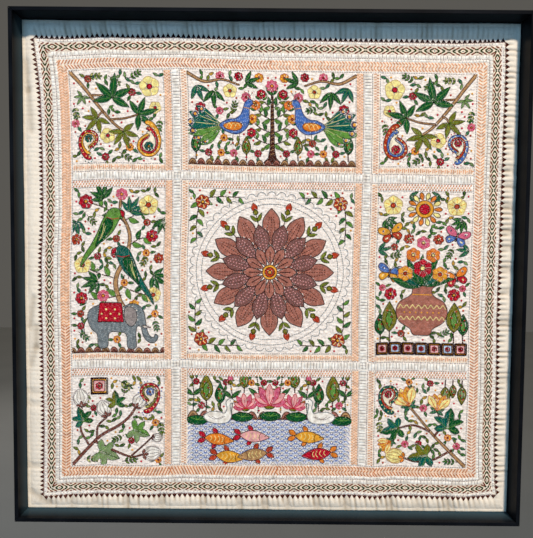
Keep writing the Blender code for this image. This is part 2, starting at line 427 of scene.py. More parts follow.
def cloth_surface():
    """The front of the cloth as an open surface in millimetres, finer along its margins."""
    lines = grid_lines()
    cells = len(lines) - 1
    bm = bmesh.new()
    bmesh.ops.create_grid(bm, x_segments=cells, y_segments=cells, size=0.5)
    for vertex in bm.verts:
        column = round((vertex.co.x + 0.5) * cells)
        row = round((vertex.co.y + 0.5) * cells)
        vertex.co.x, vertex.co.y = lines[column], lines[row]
    fine_line = CLOTH_HALF - FINE_WIDTH - GAP
    shortest = LONG_EDGE_SHARE * 2 * (CLOTH_HALF - FINE_WIDTH) / FIELD_CELLS
    fine_edges = []
    for edge in bm.edges:
        a, b = edge.verts
        long_x = abs(a.co.x - b.co.x) > shortest and abs(a.co.y) > fine_line
        long_y = abs(a.co.y - b.co.y) > shortest and abs(a.co.x) > fine_line
        if long_x or long_y:
            fine_edges.append(edge)
    bmesh.ops.subdivide_edges(bm, edges=fine_edges, cuts=FINE_CUTS, use_grid_fill=True)
    bmesh.ops.triangulate(bm, faces=bm.faces)
    u, v = np.array([vertex.co[:2] for vertex in bm.verts]).T
    near_side, near_end = [ramp(np.abs(place), CLOTH_HALF - FOLD_REACH, CLOTH_HALF) for place in (u, v)]
    right = u * (1.0 - edge_wave(v) / CLOTH_HALF * near_side)
    up = v * (1.0 - edge_wave(-u) / CLOTH_HALF * near_end)
    for vertex, place in zip(bm.verts, np.column_stack([right, -(CLOTH_LEVEL + cloth_rise(u, v)), up])):
        vertex.co = place
    mesh = bpy.data.meshes.new("kantha_cloth")
    bm.to_mesh(mesh)
    tree = BVHTree.FromBMesh(bm)
    bm.free()
    return mesh, tree


def soft_edge(inward, line, edge):
    """0 outside a line of the border and 1 inside it, with a soft edge."""
    return ramp(inward, CLOTH_HALF - line + edge[0], CLOTH_HALF - line + edge[1])


def planar_map(mesh):
    """A flat map of the cloth's plane, the same for the cloth and for every thread."""
    places = np.empty(len(mesh.vertices) * 3)
    mesh.vertices.foreach_get("co", places)
    corners = np.empty(len(mesh.loops), dtype=int)
    mesh.loops.foreach_get("vertex_index", corners)
    flat = places.reshape(-1, 3)[corners][:, (0, 2)] / (2 * INNER_HALF * MM) + 0.5
    mesh.uv_layers.new(name="OFBake").data.foreach_set("uv", flat.ravel())


def make_cloth():
    """One thin sheet, and the tree that finds its front for the stitches."""
    mesh, tree = cloth_surface()
    mesh.transform(Matrix.Scale(MM, 4))
    places = np.array([vertex.co for vertex in mesh.vertices]) / MM
    u, v = places[:, 0], places[:, 2]
    inward = CLOTH_HALF - np.maximum(np.abs(u), np.abs(v))
    stain_end = 1.0 - soft_edge(inward, DIAMOND_AXIS, STAIN_END)
    # Masks for painted shade along the folds, creases and gathers, and for a painted warm highlight along the
    # hem
    troughs = FOLD_SHARE * margin_fold_rise(u, v) + crease_rise(u, v) + GATHER_SHARE * pucker_rise(u, v)
    shades = {"quilted": soft_edge(inward, BASE, QUILTED_EDGE),
              "border": soft_edge(inward, BASE, STAIN_START) * stain_end,
              "hem": 1.0 - ramp(inward, *HEM_HIGHLIGHT_EDGE),
              "crease": np.clip(-troughs / DARKEST_DEPTH, 0.0, 1.0)}
    for name, values in shades.items():
        mesh.attributes.new(name, "FLOAT", "POINT").data.foreach_set("value", values)
    planar_map(mesh)
    mesh.shade_smooth()
    cloth = bpy.data.objects.new("kantha_cloth", mesh)
    bpy.context.scene.collection.objects.link(cloth)
    thickness = cloth.modifiers.new("thickness", "SOLIDIFY")
    thickness.thickness = CLOTH_THICKNESS * MM
    thickness.offset = -1.0
    return cloth, tree


# Sewing

sewn = {}
TAKEN_HALF = 600
taken = np.zeros((2 * TAKEN_HALF, 2 * TAKEN_HALF), dtype=bool)


def inner_shift(low_side, high_side, across, places):
    """How far the lines inside the diamonds really run to the right, or up, of the drawing."""
    out = np.abs(across)
    share = ramp(out, *SHIFT_START) * (1.0 - ramp(out, *SHIFT_END))
    low, high = read_line(INNER_SHIFTS[low_side], places), read_line(INNER_SHIFTS[high_side], places)
    return share * np.where(across > 0, high, -low)


def on_cloth(points):
    """Places in the drawing, moved to where the hand-stitched lines really run."""
    s, t = points[..., 0], points[..., 1]
    s, t = s + inner_shift("left", "right", s, t), t + inner_shift("bottom", "top", t, s)
    rightward = np.clip((s + BASE) / (2 * BASE), 0.0, 1.0)
    upward = np.clip((t + BASE) / (2 * BASE), 0.0, 1.0)
    left, right = BASE - read_line(LEFT_LINE, t), read_line(RIGHT_LINE, t) - BASE
    bottom, top = BASE - read_line(BOTTOM_LINE, s), read_line(TOP_LINE, s) - BASE
    u = s + left * (1 - rightward) + right * rightward
    v = t + bottom * (1 - upward) + top * upward
    return np.stack([u, v], axis=-1)


def is_free(points):
    """Whether nothing has been sewn yet at each of some points."""
    cells = (points + TAKEN_HALF).astype(int)
    return ~taken[cells[:, 1], cells[:, 0]]


def crossings(outline, height):
    """Where a level line crosses a closed outline, from left to right."""
    start, end = outline, np.roll(outline, -1, axis=0)
    crossing = (start[:, 1] <= height) != (end[:, 1] <= height)
    a, b = start[crossing], end[crossing]
    return np.sort(a[:, 0] + (height - a[:, 1]) * (b[:, 0] - a[:, 0]) / (b[:, 1] - a[:, 1]))


def claim(outline):
    """Marks the place of an outline as taken, for what is sewn later."""
    low, high = outline[:, 1].min(), outline[:, 1].max()
    for row in range(math.ceil(low + TAKEN_HALF), math.floor(high + TAKEN_HALF) + 1):
        places = crossings(outline, row - TAKEN_HALF) + TAKEN_HALF
        for left, right in zip(places[::2], places[1::2]):
            taken[row, round(left):round(right) + 1] = True


def claim_ring(inner, outer):
    """Marks what lies between two distances from the middle as taken."""
    place = np.abs(np.arange(2 * TAKEN_HALF) - TAKEN_HALF)
    away = np.maximum(place[:, None], place[None, :])
    taken[(away > inner) & (away < outer)] = True


def sew(thread, stitches, width=LINE_WIDTH, height=STITCH_HEIGHT, lift=0.0, piece="embroidery", form="bar"):
    """Adds stitches, one to a row with its two ends, where nothing in front has been sewn."""
    stitches = np.asarray(stitches, dtype=float).reshape(-1, 4)
    stitches = stitches[is_free((stitches[:, :2] + stitches[:, 2:]) / 2)]
    sizes = np.tile([width, height, lift], (len(stitches), 1))
    sewn.setdefault((piece, thread), {}).setdefault(form, []).append(np.hstack([stitches, sizes]))


def curve(points, closed=False, steps=6):
    """A smooth line through a few points."""
    points = np.asarray(points, dtype=float)
    if closed:
        through = np.concatenate([points[-1:], points, points[:2]])
    else:
        before, after = 2 * points[:1] - points[1:2], 2 * points[-1:] - points[-2:-1]
        through = np.concatenate([before, points, after])
    share = np.arange(steps)[:, None] / steps
    runs = []
    for a, b, c, d in zip(through, through[1:], through[2:], through[3:]):
        bend = (2 * a - 5 * b + 4 * c - d) * share ** 2 + (3 * b - a - 3 * c + d) * share ** 3
        runs.append(b + ((c - a) * share + bend) / 2)
    if not closed:
        runs.append(points[-1:])
    return np.concatenate(runs)


def along(line, length=LINE_LENGTH, gap=0.0):
    """Stitches along a line, with a gap between them or end to end."""
    line = np.asarray(line, dtype=float)
    travelled = np.concatenate([[0.0], np.cumsum(np.hypot(*np.diff(line, axis=0).T))])
    count = max(1, round(travelled[-1] / (length + gap)))
    step = travelled[-1] / count
    start = np.arange(count) * step
    end = start + step * length / (length + gap)
    columns = [np.interp(place, travelled, line[:, axis]) for place in (start, end) for axis in (0, 1)]
    return np.column_stack(columns)


def darn(outline, angle=0.0, pitch=FILL_PITCH, length=FILL_LENGTH):
    """Rows of stitches that fill an outline, offset like bricks so that they cover the cloth."""
    cos, sin = unit(angle)
    turn = np.array([[cos, sin], [-sin, cos]])
    shape = outline @ turn.T
    levels = np.arange(shape[:, 1].min() + pitch / 2, shape[:, 1].max(), pitch)
    found = [np.empty((0, 4))]
    for number, height in enumerate(levels):
        places = crossings(shape, height)
        for left, right in zip(places[::2], places[1::2]):
            offset = length / 2 * (number % 2)
            cuts = np.arange(math.floor(left / length), math.ceil(right / length) + 1) * length + offset
            cuts = cuts[(cuts > left + SHORTEST_END) & (cuts < right - SHORTEST_END)]
            marks = np.concatenate([[left], cuts, [right]])
            found.append(strokes(marks[:-1], height, marks[1:], height))
    rows = np.concatenate(found)
    return np.hstack([rows[:, :2] @ turn, rows[:, 2:] @ turn])


def strokes(starts, low, ends, high):
    """Stitches from places on one level to places on another, or on the same one."""
    return np.column_stack([starts, np.full(len(starts), low), ends, np.full(len(ends), high)])


def unit(angle):
    """One millimetre in the direction of an angle in degrees."""
    return np.array([math.cos(math.radians(angle)), math.sin(math.radians(angle))])


def heading(x, y):
    return math.degrees(math.atan2(y, x))


class Spot:
    """A place on the cloth: points drawn round its own origin are turned, scaled and moved there."""

    def __init__(self, x=0.0, y=0.0, turn=0.0, size=1.0, flip=False, base=None):
        cos, sin = unit(turn)
        self.matrix = size * np.array([[cos, -sin], [sin, cos]]) @ np.diag([-1.0 if flip else 1.0, 1.0])
        self.origin = np.array([x, y], dtype=float)
        if base is not None:
            self.origin = base.matrix @ self.origin + base.origin
            self.matrix = base.matrix @ self.matrix

    def __call__(self, points):
        return np.asarray(points, dtype=float) @ self.matrix.T + self.origin

    def at(self, x=0.0, y=0.0, turn=0.0, size=1.0, flip=False):
        return Spot(x, y, turn, size, flip, base=self)

    def direction(self, angle):
        """Where an angle of the drawing points on the cloth."""
        return heading(*self.matrix @ unit(angle))


def mirrored(spot):
    return spot, spot.at(flip=True)


def line(spot, points, thread, width=LINE_WIDTH, length=LINE_LENGTH, gap=0.0, smooth=True):
    """A line of stitches through a few points, over what is filled under it."""
    points = curve(points) if smooth and len(points) > 2 else points
    sew(thread, along(spot(points), length, gap), width, lift=OVER_LIFT)


def shape(spot, outline, thread, edge="brown", angle=0.0, edge_width=LINE_WIDTH, pitch=FILL_PITCH):
    """A filled shape with its edge in backstitch. Its details are sewn before it."""
    outline = spot(outline)
    angle = spot.direction(angle)
    if edge:
        sew(edge, along(loop(outline), EDGE_LENGTH), edge_width, lift=OVER_LIFT)
    if thread in FLECKS:
        flecks = darn(outline, angle, FLECK_PITCH, FLECK_LENGTH)[::2]
        sew(FLECKS[thread], flecks, FLECK_WIDTH, lift=FLECK_LIFT, form="lozenge")
    sew(thread, darn(outline, angle, pitch), 2 * pitch, lift=FILL_LIFT, form="lozenge")
    claim(outline)


def loop(outline):
    """An outline that comes back to its first point."""
    return np.concatenate([outline, outline[:1]])


def rectangle(x0, y0, x1, y1):
    return np.array([(x0, y0), (x1, y0), (x1, y1), (x0, y1)], dtype=float)


def ring(radius, count=16, squash=1.0):
    turn = np.arange(count) / count * 2 * math.pi
    return np.column_stack([radius * np.cos(turn), radius * squash * np.sin(turn)])


def disc(spot, radius, thread, edge=None, x=0.0, y=0.0):
    shape(spot.at(x, y), ring(radius, max(8, round(radius * 2))), thread, edge, pitch=DISC_PITCH)


def dot(spot, thread, x=0.0, y=0.0, size=3.2):
    """A knot: three short stitches across one another."""
    place = spot([(x, y)])[0]
    for angle in (0, 60, 120):
        half = size / 2 * unit(angle)
        sew(thread, [[*(place - half), *(place + half)]], 0.7 * size, KNOT_HEIGHT, OVER_LIFT)


def work(spot, motif, *rows):
    """One motif at several places round a spot: x, y and turn of each, then what else it is given."""
    for x, y, turn, *values in rows:
        motif(spot.at(x, y, turn), *values)


def blade(length, width, bend=0.0, fullness=1.0, count=9):
    """A petal, leaf or feather from the origin along +X."""
    share = np.linspace(0.0, 1.0, count)
    half = width / 2 * np.sin(math.pi * share ** fullness)
    middle = bend * 4 * share * (1 - share)
    upper = np.column_stack([length * share, middle + half])
    lower = np.column_stack([length * share, middle - half])
    return np.concatenate([upper, lower[::-1][1:-1]])


# Motifs

def leaf(spot, length, width, thread, bend=0.0):
    vein = [(0.08 * length, 0.2 * bend), (0.5 * length, bend), (0.9 * length, 0.3 * bend)]
    line(spot, vein, "leaf", 1.3)
    shape(spot, blade(length, width, bend, 0.8), thread, "pine", 55, 1.3)


def flower(spot, radius, petals, thread, heart="gold", streak=None):
    disc(spot, 0.26 * radius, heart, "maroon")
    for number in range(petals):
        petal = spot.at(turn=360 * number / petals + 90).at(0.16 * radius)
        if streak:
            line(petal, [(0.2 * radius, 0), (0.66 * radius, 0)], streak, 2.0)
        width = 1.75 * radius * math.sin(math.pi / petals)
        shape(petal, blade(0.84 * radius, width, 0, 1.35), thread, PETAL_EDGES.get(thread), 0, 1.3)


def spray(spot, path, leaves, length, width, colours, stem_width=2.4):
    """A stem through a few points, with leaves on alternate sides."""
    stitches = along(curve(path))
    total = len(stitches)
    for number in range(leaves):
        x0, y0, x1, y1 = stitches[min(total - 1, round((number + 0.7) / (leaves + 0.2) * total))]
        side = 1 if number % 2 else -1
        size = 1.0 - 0.25 * number / leaves
        leaf(spot.at(x0, y0, heading(x1 - x0, y1 - y0) + 48 * side), size * length, size * width,
             colours[number % len(colours)], 2.0 * side)
    sew("brown", along(spot(curve(path)), EDGE_LENGTH), stem_width * 1.2, lift=0.1)


def bud(spot, length, thread):
    shape(spot, blade(0.5 * length, 0.42 * length, 0, 0.8), "olive", "pine")
    shape(spot.at(0.2 * length), blade(0.8 * length, 0.5 * length), thread, "red_brown")


def palm(spot, reach, thread, leaflets=5, spread=270):
    """A palmate leaf: long leaflets fanned from the end of their stalk."""
    for number in range(leaflets):
        off = number - (leaflets - 1) / 2
        length = reach * (1 - 0.11 * abs(off))
        leaf(spot.at(turn=off * spread / leaflets), length, 0.29 * reach, thread)


LOBED = ((0, 0.05), (-0.16, 0.2), (-0.22, 0.4), (-0.1, 0.58), (0.06, 0.46), (0.16, 0.28), (0.26, 0.5),
         (0.44, 0.68), (0.52, 0.44), (0.46, 0.22), (0.72, 0.2), (1.0, 0.0))


def lobed(spot, reach, thread, half):
    """A broad leaf with five pointed lobes, one half often in another green."""
    outline = np.array(LOBED) * reach
    for x, y in ((0.9, 0), (0.38, 0.56), (0.38, -0.56), (-0.08, 0.44), (-0.08, -0.44)):
        line(spot, [(0, 0), (x * reach, y * reach)], "leaf", 1.5)
    shape(spot, outline, thread, "pine", 40, 1.4)
    shape(spot, outline * (1, -1), half, "pine", -40, 1.4)


def branches(spot, thread, *rows):
    """Branches that narrow from one width to another: the two widths, then the points of each."""
    for start, end, *path in rows:
        middle = curve(path)
        run = np.gradient(middle, axis=0)
        across = np.column_stack([-run[:, 1], run[:, 0]]) / np.hypot(*run.T)[:, None]
        half = np.linspace(start, end, len(middle))[:, None] / 2
        outline = np.concatenate([middle + across * half, (middle - across * half)[::-1]])
        shape(spot, outline, thread, "brown", heading(*(middle[-1] - middle[0])))


BOLL = ((0.04, 0), (0.2, 0.32), (0.55, 0.42), (0.88, 0.26), (1, 0), (0.88, -0.26), (0.55, -0.42),
        (0.2, -0.32))


def boll(spot, size, thread="white", rib="grey", calyx="cocoa"):
    """A round ribbed boll over a small calyx, along +X."""
    for angle in (-64, 64, 0):
        shape(spot.at(turn=angle), blade(0.36 * size, 0.16 * size), calyx, "maroon", 0, 1.4)
    for share in (-0.66, -0.34, 0.0, 0.34, 0.66):
        line(spot, [(0.06 * size, 0.1 * share * size), (0.5 * size, 0.6 * share * size),
                    (0.94 * size, 0.24 * share * size)], rib, 1.8)
    shape(spot, curve(BOLL, closed=True) * size, thread, rib, 0, 2.0)


def blossom(spot, size):
    """A yellow blossom seen from the side, striped with orange, over green sepals, along +X."""
    for angle, thread, streak in ((-36, "yellow", "orange"), (36, "yellow", "orange"), (-18, "gold", "rust"),
                                  (18, "gold", "rust"), (0, "yellow", "orange")):
        petal = spot.at(turn=angle)
        line(petal, [(0.1 * size, 0), (0.82 * size, 0)], streak, 2.4)
        shape(petal, blade(size, 0.42 * size, 0, 1.4), thread, "rust", 0, 1.4)
    for angle in (-118, 118, -70, 70):
        leaf(spot.at(turn=angle), 0.42 * size, 0.2 * size, "teal")


def sprig(spot, size, colours):
    """A short stem with pairs of narrow leaves and one at its end."""
    for number, place in enumerate((0.94, 0.64, 0.3)):
        for side in (-1, 1):
            thread = colours[(number + (side > 0)) % len(colours)]
            leaf(spot.at(place * size, 0, 46 * side), 0.46 * size, 0.19 * size, thread)
    leaf(spot.at(0.94 * size), 0.5 * size, 0.2 * size, colours[0])
    line(spot, [(0, 0), (0.96 * size, 0)], "brown", 1.8)


def small_flower(spot, thread, size=10.0):
    """A small flower with three leaves round it."""
    flower(spot, size, 7, thread, "gold" if thread != "gold" else "rust")
    for angle, colour in ((20, "olive"), (140, "green"), (250, "teal")):
        leaf(spot.at(turn=angle).at(0.9 * size), 1.55 * size, 0.72 * size, colour)


def tree(spot, height, crown="olive", inner="leaf"):
    """A small tree with a pointed crown."""
    line(spot, [(0, 0), (1, 0.3 * height)], "brown", 3.4)
    stem = spot.at(0, 0.26 * height, 90)
    for number in range(3):
        dot(stem, "red", (0.2 + 0.16 * number) * height, 0.05 * height * (-1) ** number, 4.0)
    shape(stem.at(0.1 * height), blade(0.42 * height, 0.16 * height), inner, "pine")
    shape(stem, blade(0.74 * height, 0.36 * height, 0, 0.8), crown, "pine", 20)


def bank(spot, length, height):
    """A strip of earth: small mounds side by side, hatched in two browns."""
    count = max(1, round(length / (1.5 * height)))
    step = length / count
    outline = curve(np.array([(-0.5, 0), (-0.3, 0.7), (0, 1), (0.3, 0.7), (0.5, 0)]) * (step, height))
    for number in range(count):
        mound = spot.at((number + 0.5) * step)
        for level in (0.3, 0.6):
            line(mound, curve([(-0.36 * step, 0), (0, level * height), (0.36 * step, 0)]), "brown", 2.4)
        shape(mound, outline, ("tan", "terracotta")[number % 2], "brown", 30, 2.4)


def mat(spot, size, ground):
    """A woven mat: a flower in a square with a bright and a dark border."""
    flower(spot, 0.24 * size, 6, "red", "gold")
    for share, thread in ((0.34, ground), (0.43, "gold"), (0.5, "maroon")):
        shape(spot, rectangle(-1, -1, 1, 1) * share * size, thread, "maroon", 0, 2.4)


KALKA = ((0, -52), (27, -42), (40, -16), (36, 14), (22, 38), (6, 54), (-14, 66), (-30, 66), (-38, 56),
         (-30, 50), (-20, 50), (-12, 40), (-16, 26), (-30, 8), (-38, -12), (-34, -34), (-20, -47))


def kalka(spot, size, colours):
    """A paisley drop: nested bands of colour with a flower inside."""
    ground, band, knots = colours
    flower(spot.at(2 * size, -16 * size), 17 * size, 7, knots, "gold")
    inner = curve(KALKA, closed=True, steps=4) * size
    for number in range(0, len(inner), 4):
        dot(spot, "yellow", *(inner[number] * 0.86 + (0, -1.6 * size)), 3.0)
    for share, thread in ((0.56, "ecru"), (0.74, ground), (1.0, band)):
        shape(spot.at(0, -12 * (1 - share) * size), inner * share, thread, "maroon", 30, 1.8)
    for number in range(0, len(inner), 3):
        dot(spot, knots, *(inner[number] * 1.14), 3.0)


ELEPHANT = ((-48, 20), (-44, 34), (-28, 42), (-4, 43), (14, 40), (24, 45), (38, 43), (47, 32), (50, 16),
            (52, 2), (57, -10), (64, -12), (66, -6), (71, -12), (64, -21), (53, -19), (45, -8), (42, 6),
            (35, 6), (33, -10), (33, -30), (19, -30), (17, -8), (4, -4), (-12, -6), (-15, -30), (-30, -30),
            (-32, -8), (-42, 2))


def elephant(spot):
    """An elephant that faces right, with a cloth on its back."""
    dot(spot, "black", 41, 31, 3.0)
    shape(spot, [(45, 9), (60, 5), (46, 4)], "white")
    shape(spot, curve([(16, 38), (32, 36), (35, 18), (26, 6), (15, 16)], True), "grey", "black", 70)
    for number in range(5):
        for level in range(3):
            if (number + level) % 2:
                dot(spot, "yellow", -24 + 7.4 * number, 19 + 7.6 * level, 5.0)
    shape(spot, [(-31, 13), (13, 13), (10, 46), (-27, 46)], "red", "maroon", 0, 2.4)
    line(spot, [(-47, 22), (-54, 8), (-53, -8)], "black", 2.0)
    shape(spot, curve(ELEPHANT, True, 4), "slate", "black", 20)
    for x in (-22, 26):
        line(spot, [(x - 6, -31), (x + 6, -31)], "brown", 2.4)


SWAN = ((-28, 4), (-16, 12), (0, 12), (10, 10), (14, 20), (12, 30), (18, 37), (26, 35), (26, 29), (20, 28),
        (20, 18), (22, 4), (14, -8), (-8, -10), (-22, -6))


def swan(spot):
    """A water bird that faces right."""
    dot(spot, "black", 20, 33, 2.4)
    shape(spot, [(26, 34), (36, 30), (26, 30)], "orange")
    for shift in (0, 6):
        line(spot, [(-20 + shift, 4), (-8 + shift, -2), (8 + shift / 2, 4)], "grey", 1.6)
    shape(spot, curve(SWAN, True), "white", "slate", 0, 2.2)


PEACOCK = ((-30, 0), (-14, 10), (0, 12), (10, 20), (15, 32), (18, 42), (25, 48), (32, 46), (33, 40),
           (27, 33), (26, 20), (26, 6), (18, -8), (4, -16), (-12, -14), (-24, -8))
PEACOCK_WING = ((-22, 0), (-6, 6), (10, 4), (12, -4), (2, -10), (-16, -8))


def peacock(spot):
    """A peacock that faces right, its tail spread behind it."""
    dot(spot, "black", 27, 44, 2.6)
    shape(spot, [(32, 46), (41, 41), (33, 40)], "gold")
    for x, y in ((18, 61), (25, 63), (32, 60)):
        dot(spot, "rust", x, y, 3.0)
        line(spot, [(25, 48), (x, y)], "teal", 1.2)
    for x in (-12, -4, 4):
        line(spot, curve([(x - 6, -7), (x, 4), (x + 5, -2)]), "yellow", 1.4)
    shape(spot, curve(PEACOCK_WING, True), "orange", "brown", 20)
    line(spot, [(16, 33), (27, 31)], "gold", 2.0)
    shape(spot, curve(PEACOCK, True), "blue", "navy", 70)
    for x in (-4, 8):
        line(spot, [(x, -14), (x - 1, -34), (x + 6, -37)], "brown", 1.6)
        line(spot, [(x - 1, -34), (x - 6, -37)], "brown", 1.6)
    for number, angle in enumerate((176, 192, 160, 208, 145, 222)):
        feather = spot.at(-22, -1, angle, 1.0 - 0.05 * number)
        disc(feather, 3.4, "gold", None, 62)
        disc(feather, 6.4, "navy", None, 62)
        line(feather, [(8, 0), (52, 0)], "yellow", 1.3)
        shape(feather, blade(76, 19, 3, 1.7, 11), ("teal", "leaf")[number % 2], "pine", 25, 1.3)


PARROT = ((20, 30), (27, 26), (28, 18), (24, 8), (16, -8), (4, -20), (-8, -31), (-26, -53), (-34, -64),
          (-30, -48), (-18, -28), (-8, -8), (-2, 8), (4, 20), (11, 28))
PARROT_WING = ((7, 14), (16, 6), (9, -10), (-10, -32), (-6, -12), (0, 4))


def parrot(spot, body):
    """A parrot that faces right on a perch, its tail hanging to the left."""
    dot(spot, "black", 20, 24, 2.4)
    shape(spot, curve([(27, 27), (34, 23), (32, 15), (28, 19)], True), "red", "maroon")
    line(spot, curve([(5, 15), (15, 12), (25, 14)]), "red", 2.0)
    for shift in (0, 5):
        line(spot, [(2 + shift / 2, 6 - shift), (0, -8 - shift), (-5, -22)], "yellow", 1.2)
    shape(spot, curve(PARROT_WING, True), "green", "pine", 60)
    shape(spot, curve(PARROT, True), body, "pine", 60)
    for x in (6, 13):
        line(spot, [(x, -16), (x + 1, -23)], "brown", 1.8)


def fish(spot, body, fin):
    """A fish that swims right, with a row of scales."""
    dot(spot, "black", 52, 2, 2.8)
    line(spot, curve([(43, -8), (40, 0), (43, 8)]), "brown", 1.5)
    for x in (12, 20, 28, 35):
        reach = 0.34 * (11 - abs(26 - x) / 4)
        line(spot, curve([(x, -2 * reach), (x + 4, 0), (x, 2 * reach)]), "yellow", 1.5)
    shape(spot, blade(62, 25, 0, 0.85, 11), body)
    shape(spot.at(26, 9, 128), blade(18, 10), fin)
    shape(spot.at(26, -9, -128), blade(15, 9), fin)
    for angle in (148, 212):
        shape(spot.at(5, 0, angle), blade(21, 11, 0, 1.3), fin)


def butterfly(spot, upper, lower):
    for half in mirrored(spot):
        line(half, curve([(0, 8), (4, 14), (8, 17)]), "black", 1.0)
        disc(half, 2.2, "navy", None, 15, 9)
        disc(half, 1.9, "yellow", None, 12, -7)
        shape(half, curve([(1, 2), (7, 13), (21, 18), (25, 10), (16, 1)], True), upper, "brown", 40)
        shape(half, curve([(1, 0), (14, 0), (20, -8), (13, -16), (4, -9)], True), lower, "brown", -40)
    shape(spot, ring(3.2, 10, 3.2), "black", None, 90)


def sun(spot, radius):
    disc(spot, 0.3 * radius, "red", "maroon")
    disc(spot, 0.5 * radius, "gold", "brown")
    for number in range(14):
        petal = spot.at(turn=360 / 14 * number).at(0.46 * radius)
        shape(petal, blade(0.54 * radius, 0.25 * radius, 0, 1.3), ("orange", "yellow")[number % 2])


def side_lotus(spot, size):
    """A lotus seen from the side, its petals fanned over a stem."""
    for angle, length, thread in ((90, 30, "rose"), (62, 29, "pink"), (118, 29, "pink"), (38, 27, "rose"),
                                  (142, 27, "rose"), (14, 24, "pink"), (166, 24, "pink")):
        petal = spot.at(turn=angle, size=size)
        line(petal, [(6, 0), (0.7 * length, 0)], "red", 1.2)
        shape(petal, blade(length, 11, 0, 1.1), thread, "red")
    shape(spot.at(0, -2 * size, size=size), ring(7, 12, 0.5), "olive", "pine")


def waves(x0, y0, x1, y1):
    """Water between two corners: rows of nested arcs, offset like scales."""
    reach = 11.0
    turn = np.radians(np.linspace(0, 180, 9))
    arc = np.column_stack([np.cos(turn), np.sin(turn)])
    for row in range(int((y1 - y0) / (0.55 * reach))):
        y = y0 + row * 0.55 * reach
        for x in np.arange(x0 + reach * (1 + row % 2), x1 - 0.8 * reach, 2 * reach):
            for share, thread in ((0.92, "blue"), (0.64, "pale_blue"), (0.34, "slate")):
                sew(thread, along(arc * share * reach + (x, y), 4.2), 1.9)
    claim(rectangle(x0, y0, x1, y1))


POT = ((12, 0), (17, 4), (20, 12), (38, 24), (45, 42), (39, 60), (22, 71), (17, 78), (18, 86), (27, 92))


def kalash(spot):
    """A round water pot with bands, holding leaves and flowers."""
    for x, y, radius, thread in ((0, 122, 17, "red"), (-30, 112, 14, "gold"), (30, 112, 14, "gold"),
                                 (-17, 146, 13, "orange"), (17, 146, 13, "orange"), (0, 168, 12, "pink")):
        flower(spot.at(x, y), radius, 6, thread, "yellow" if thread != "gold" else "rust")
    for angle in (90, 62, 118, 36, 144, 14, 166):
        leaf(spot.at(0, 90, angle), 58, 17, "green" if angle % 4 else "teal", 3)
    for y, half in ((31, 41), (52, 42)):
        points = [(x, y + (4 if number % 2 else -4)) for number, x in enumerate(np.linspace(-half, half, 17))]
        line(spot, points, "yellow", 1.8, 4.0, smooth=False)
    for number in range(7):
        dot(spot, "gold", -30 + 10 * number, 41.5, 4.2)
    right = curve(POT, steps=4)
    outline = np.concatenate([right, right[::-1] * (-1, 1)])
    line(spot, [(-17, 74), (17, 74)], "gold", 2.4)
    shape(spot, outline, "terracotta", "maroon", 0)


def branch_tree(spot):
    """A tree of life: a trunk with paired branches, each with leaves and a round fruit."""
    for height, reach, rise, fruit in ((40, 46, 22, "red"), (66, 44, 26, "gold"), (94, 36, 28, "orange"),
                                       (120, 24, 26, "red")):
        for half in mirrored(spot.at(0, height)):
            flower(half.at(reach, rise + 4), 11, 6, fruit, "yellow" if fruit != "gold" else "rust")
            spray(half, [(0, 0), (0.45 * reach, 0.25 * rise), (0.8 * reach, 0.65 * rise), (reach, rise)],
                  5, 21, 9, ("leaf", "green", "olive"))
    flower(spot.at(0, 168), 14, 8, "pink", "gold")
    for angle in (55, 125):
        leaf(spot.at(0, 148, angle), 24, 10, "green")
    trunk = curve([(5, 30), (4, 70), (3, 110), (1.5, 152), (-1.5, 152), (-3, 110), (-4, 70), (-5, 30)])
    for y in range(18, 140, 9):
        line(spot, [(-4, y), (4, y + 3)], "tan", 1.4)
    roots = np.array([(-5, 30), (-9, 10), (-20, 0), (-8, 3), (0, -2), (8, 3), (20, 0), (9, 10), (5, 30)])
    shape(spot, np.concatenate([trunk, roots[1:-1]]), "brown", "maroon", 90)


def medallion():
    """The lotus in the middle: three rings of twelve petals, buds between them, and sewn circles."""
    middle = Spot()
    for radius, thread, edge in ((5, "gold", "maroon"), (12, "rust", "maroon"), (18, "gold", "brown")):
        disc(middle, radius, thread, edge)
    for turn in range(0, 360, 30):
        petal = middle.at(turn=turn).at(14)
        line(petal, [(10, 0), (36, 0)], "maroon", 2.2)
        shape(petal, blade(52, 24, 0, 1.3, 13), "terracotta", "maroon", 0, 2.2)
    for turn in range(15, 360, 30):
        petal = middle.at(turn=turn).at(36)
        for x in range(16, 72, 7):
            for side in (-1, 0, 1):
                dot(petal, "rose", x + 3.5 * (side == 0), side * 8.0 * math.sin(math.pi * x / 84), 2.6)
        shape(petal, blade(82, 38, 0, 1.4, 13), "mauve", "maroon", 0, 2.2)
    for turn in range(0, 360, 30):
        petal = middle.at(turn=turn).at(56)
        for side in (-1, 0, 1):
            line(petal, [(20, 3 * side), (50, 9 * side), (80, 4 * side)], "maroon", 1.8, 4, 2)
        shape(petal, blade(98, 42, 0, 1.5, 13), "terracotta", "maroon", 0, 2.2)
    for turn in range(15, 360, 30):
        stem = middle.at(turn=turn)
        bud(stem.at(142), 30, "rust")
        for side in (-1, 1):
            leaf(stem.at(126, 0, 38 * side), 24, 9, "olive")
        line(stem, [(112, 0), (146, 0)], "brown", 2.0)
    for radius in (164.0, 177.0):
        line(middle, loop(ring(radius, 96)), "slate", 1.8, 4.5, 0.8, smooth=False)
    for number in range(48):
        petal = middle.at(turn=7.5 * number).at(184)
        line(petal, [(0, -11), (7, -7), (9.5, 0), (7, 7), (0, 11)], "slate", 1.6, 4)


def centre_corners():
    """Sprays in the corners of the middle panel."""
    for turn in (45, 135, 225, 315):
        corner = Spot(turn=turn).at(262)
        flower(corner.at(-28), 18, 6, "rust", "gold", "yellow")
        for side in (-1, 1):
            path = [(-20, 0), (-34, 22 * side), (-52, 44 * side), (-84, 74 * side)]
            spray(corner, path, 7, 25, 11, ("leaf", "olive", "green"))


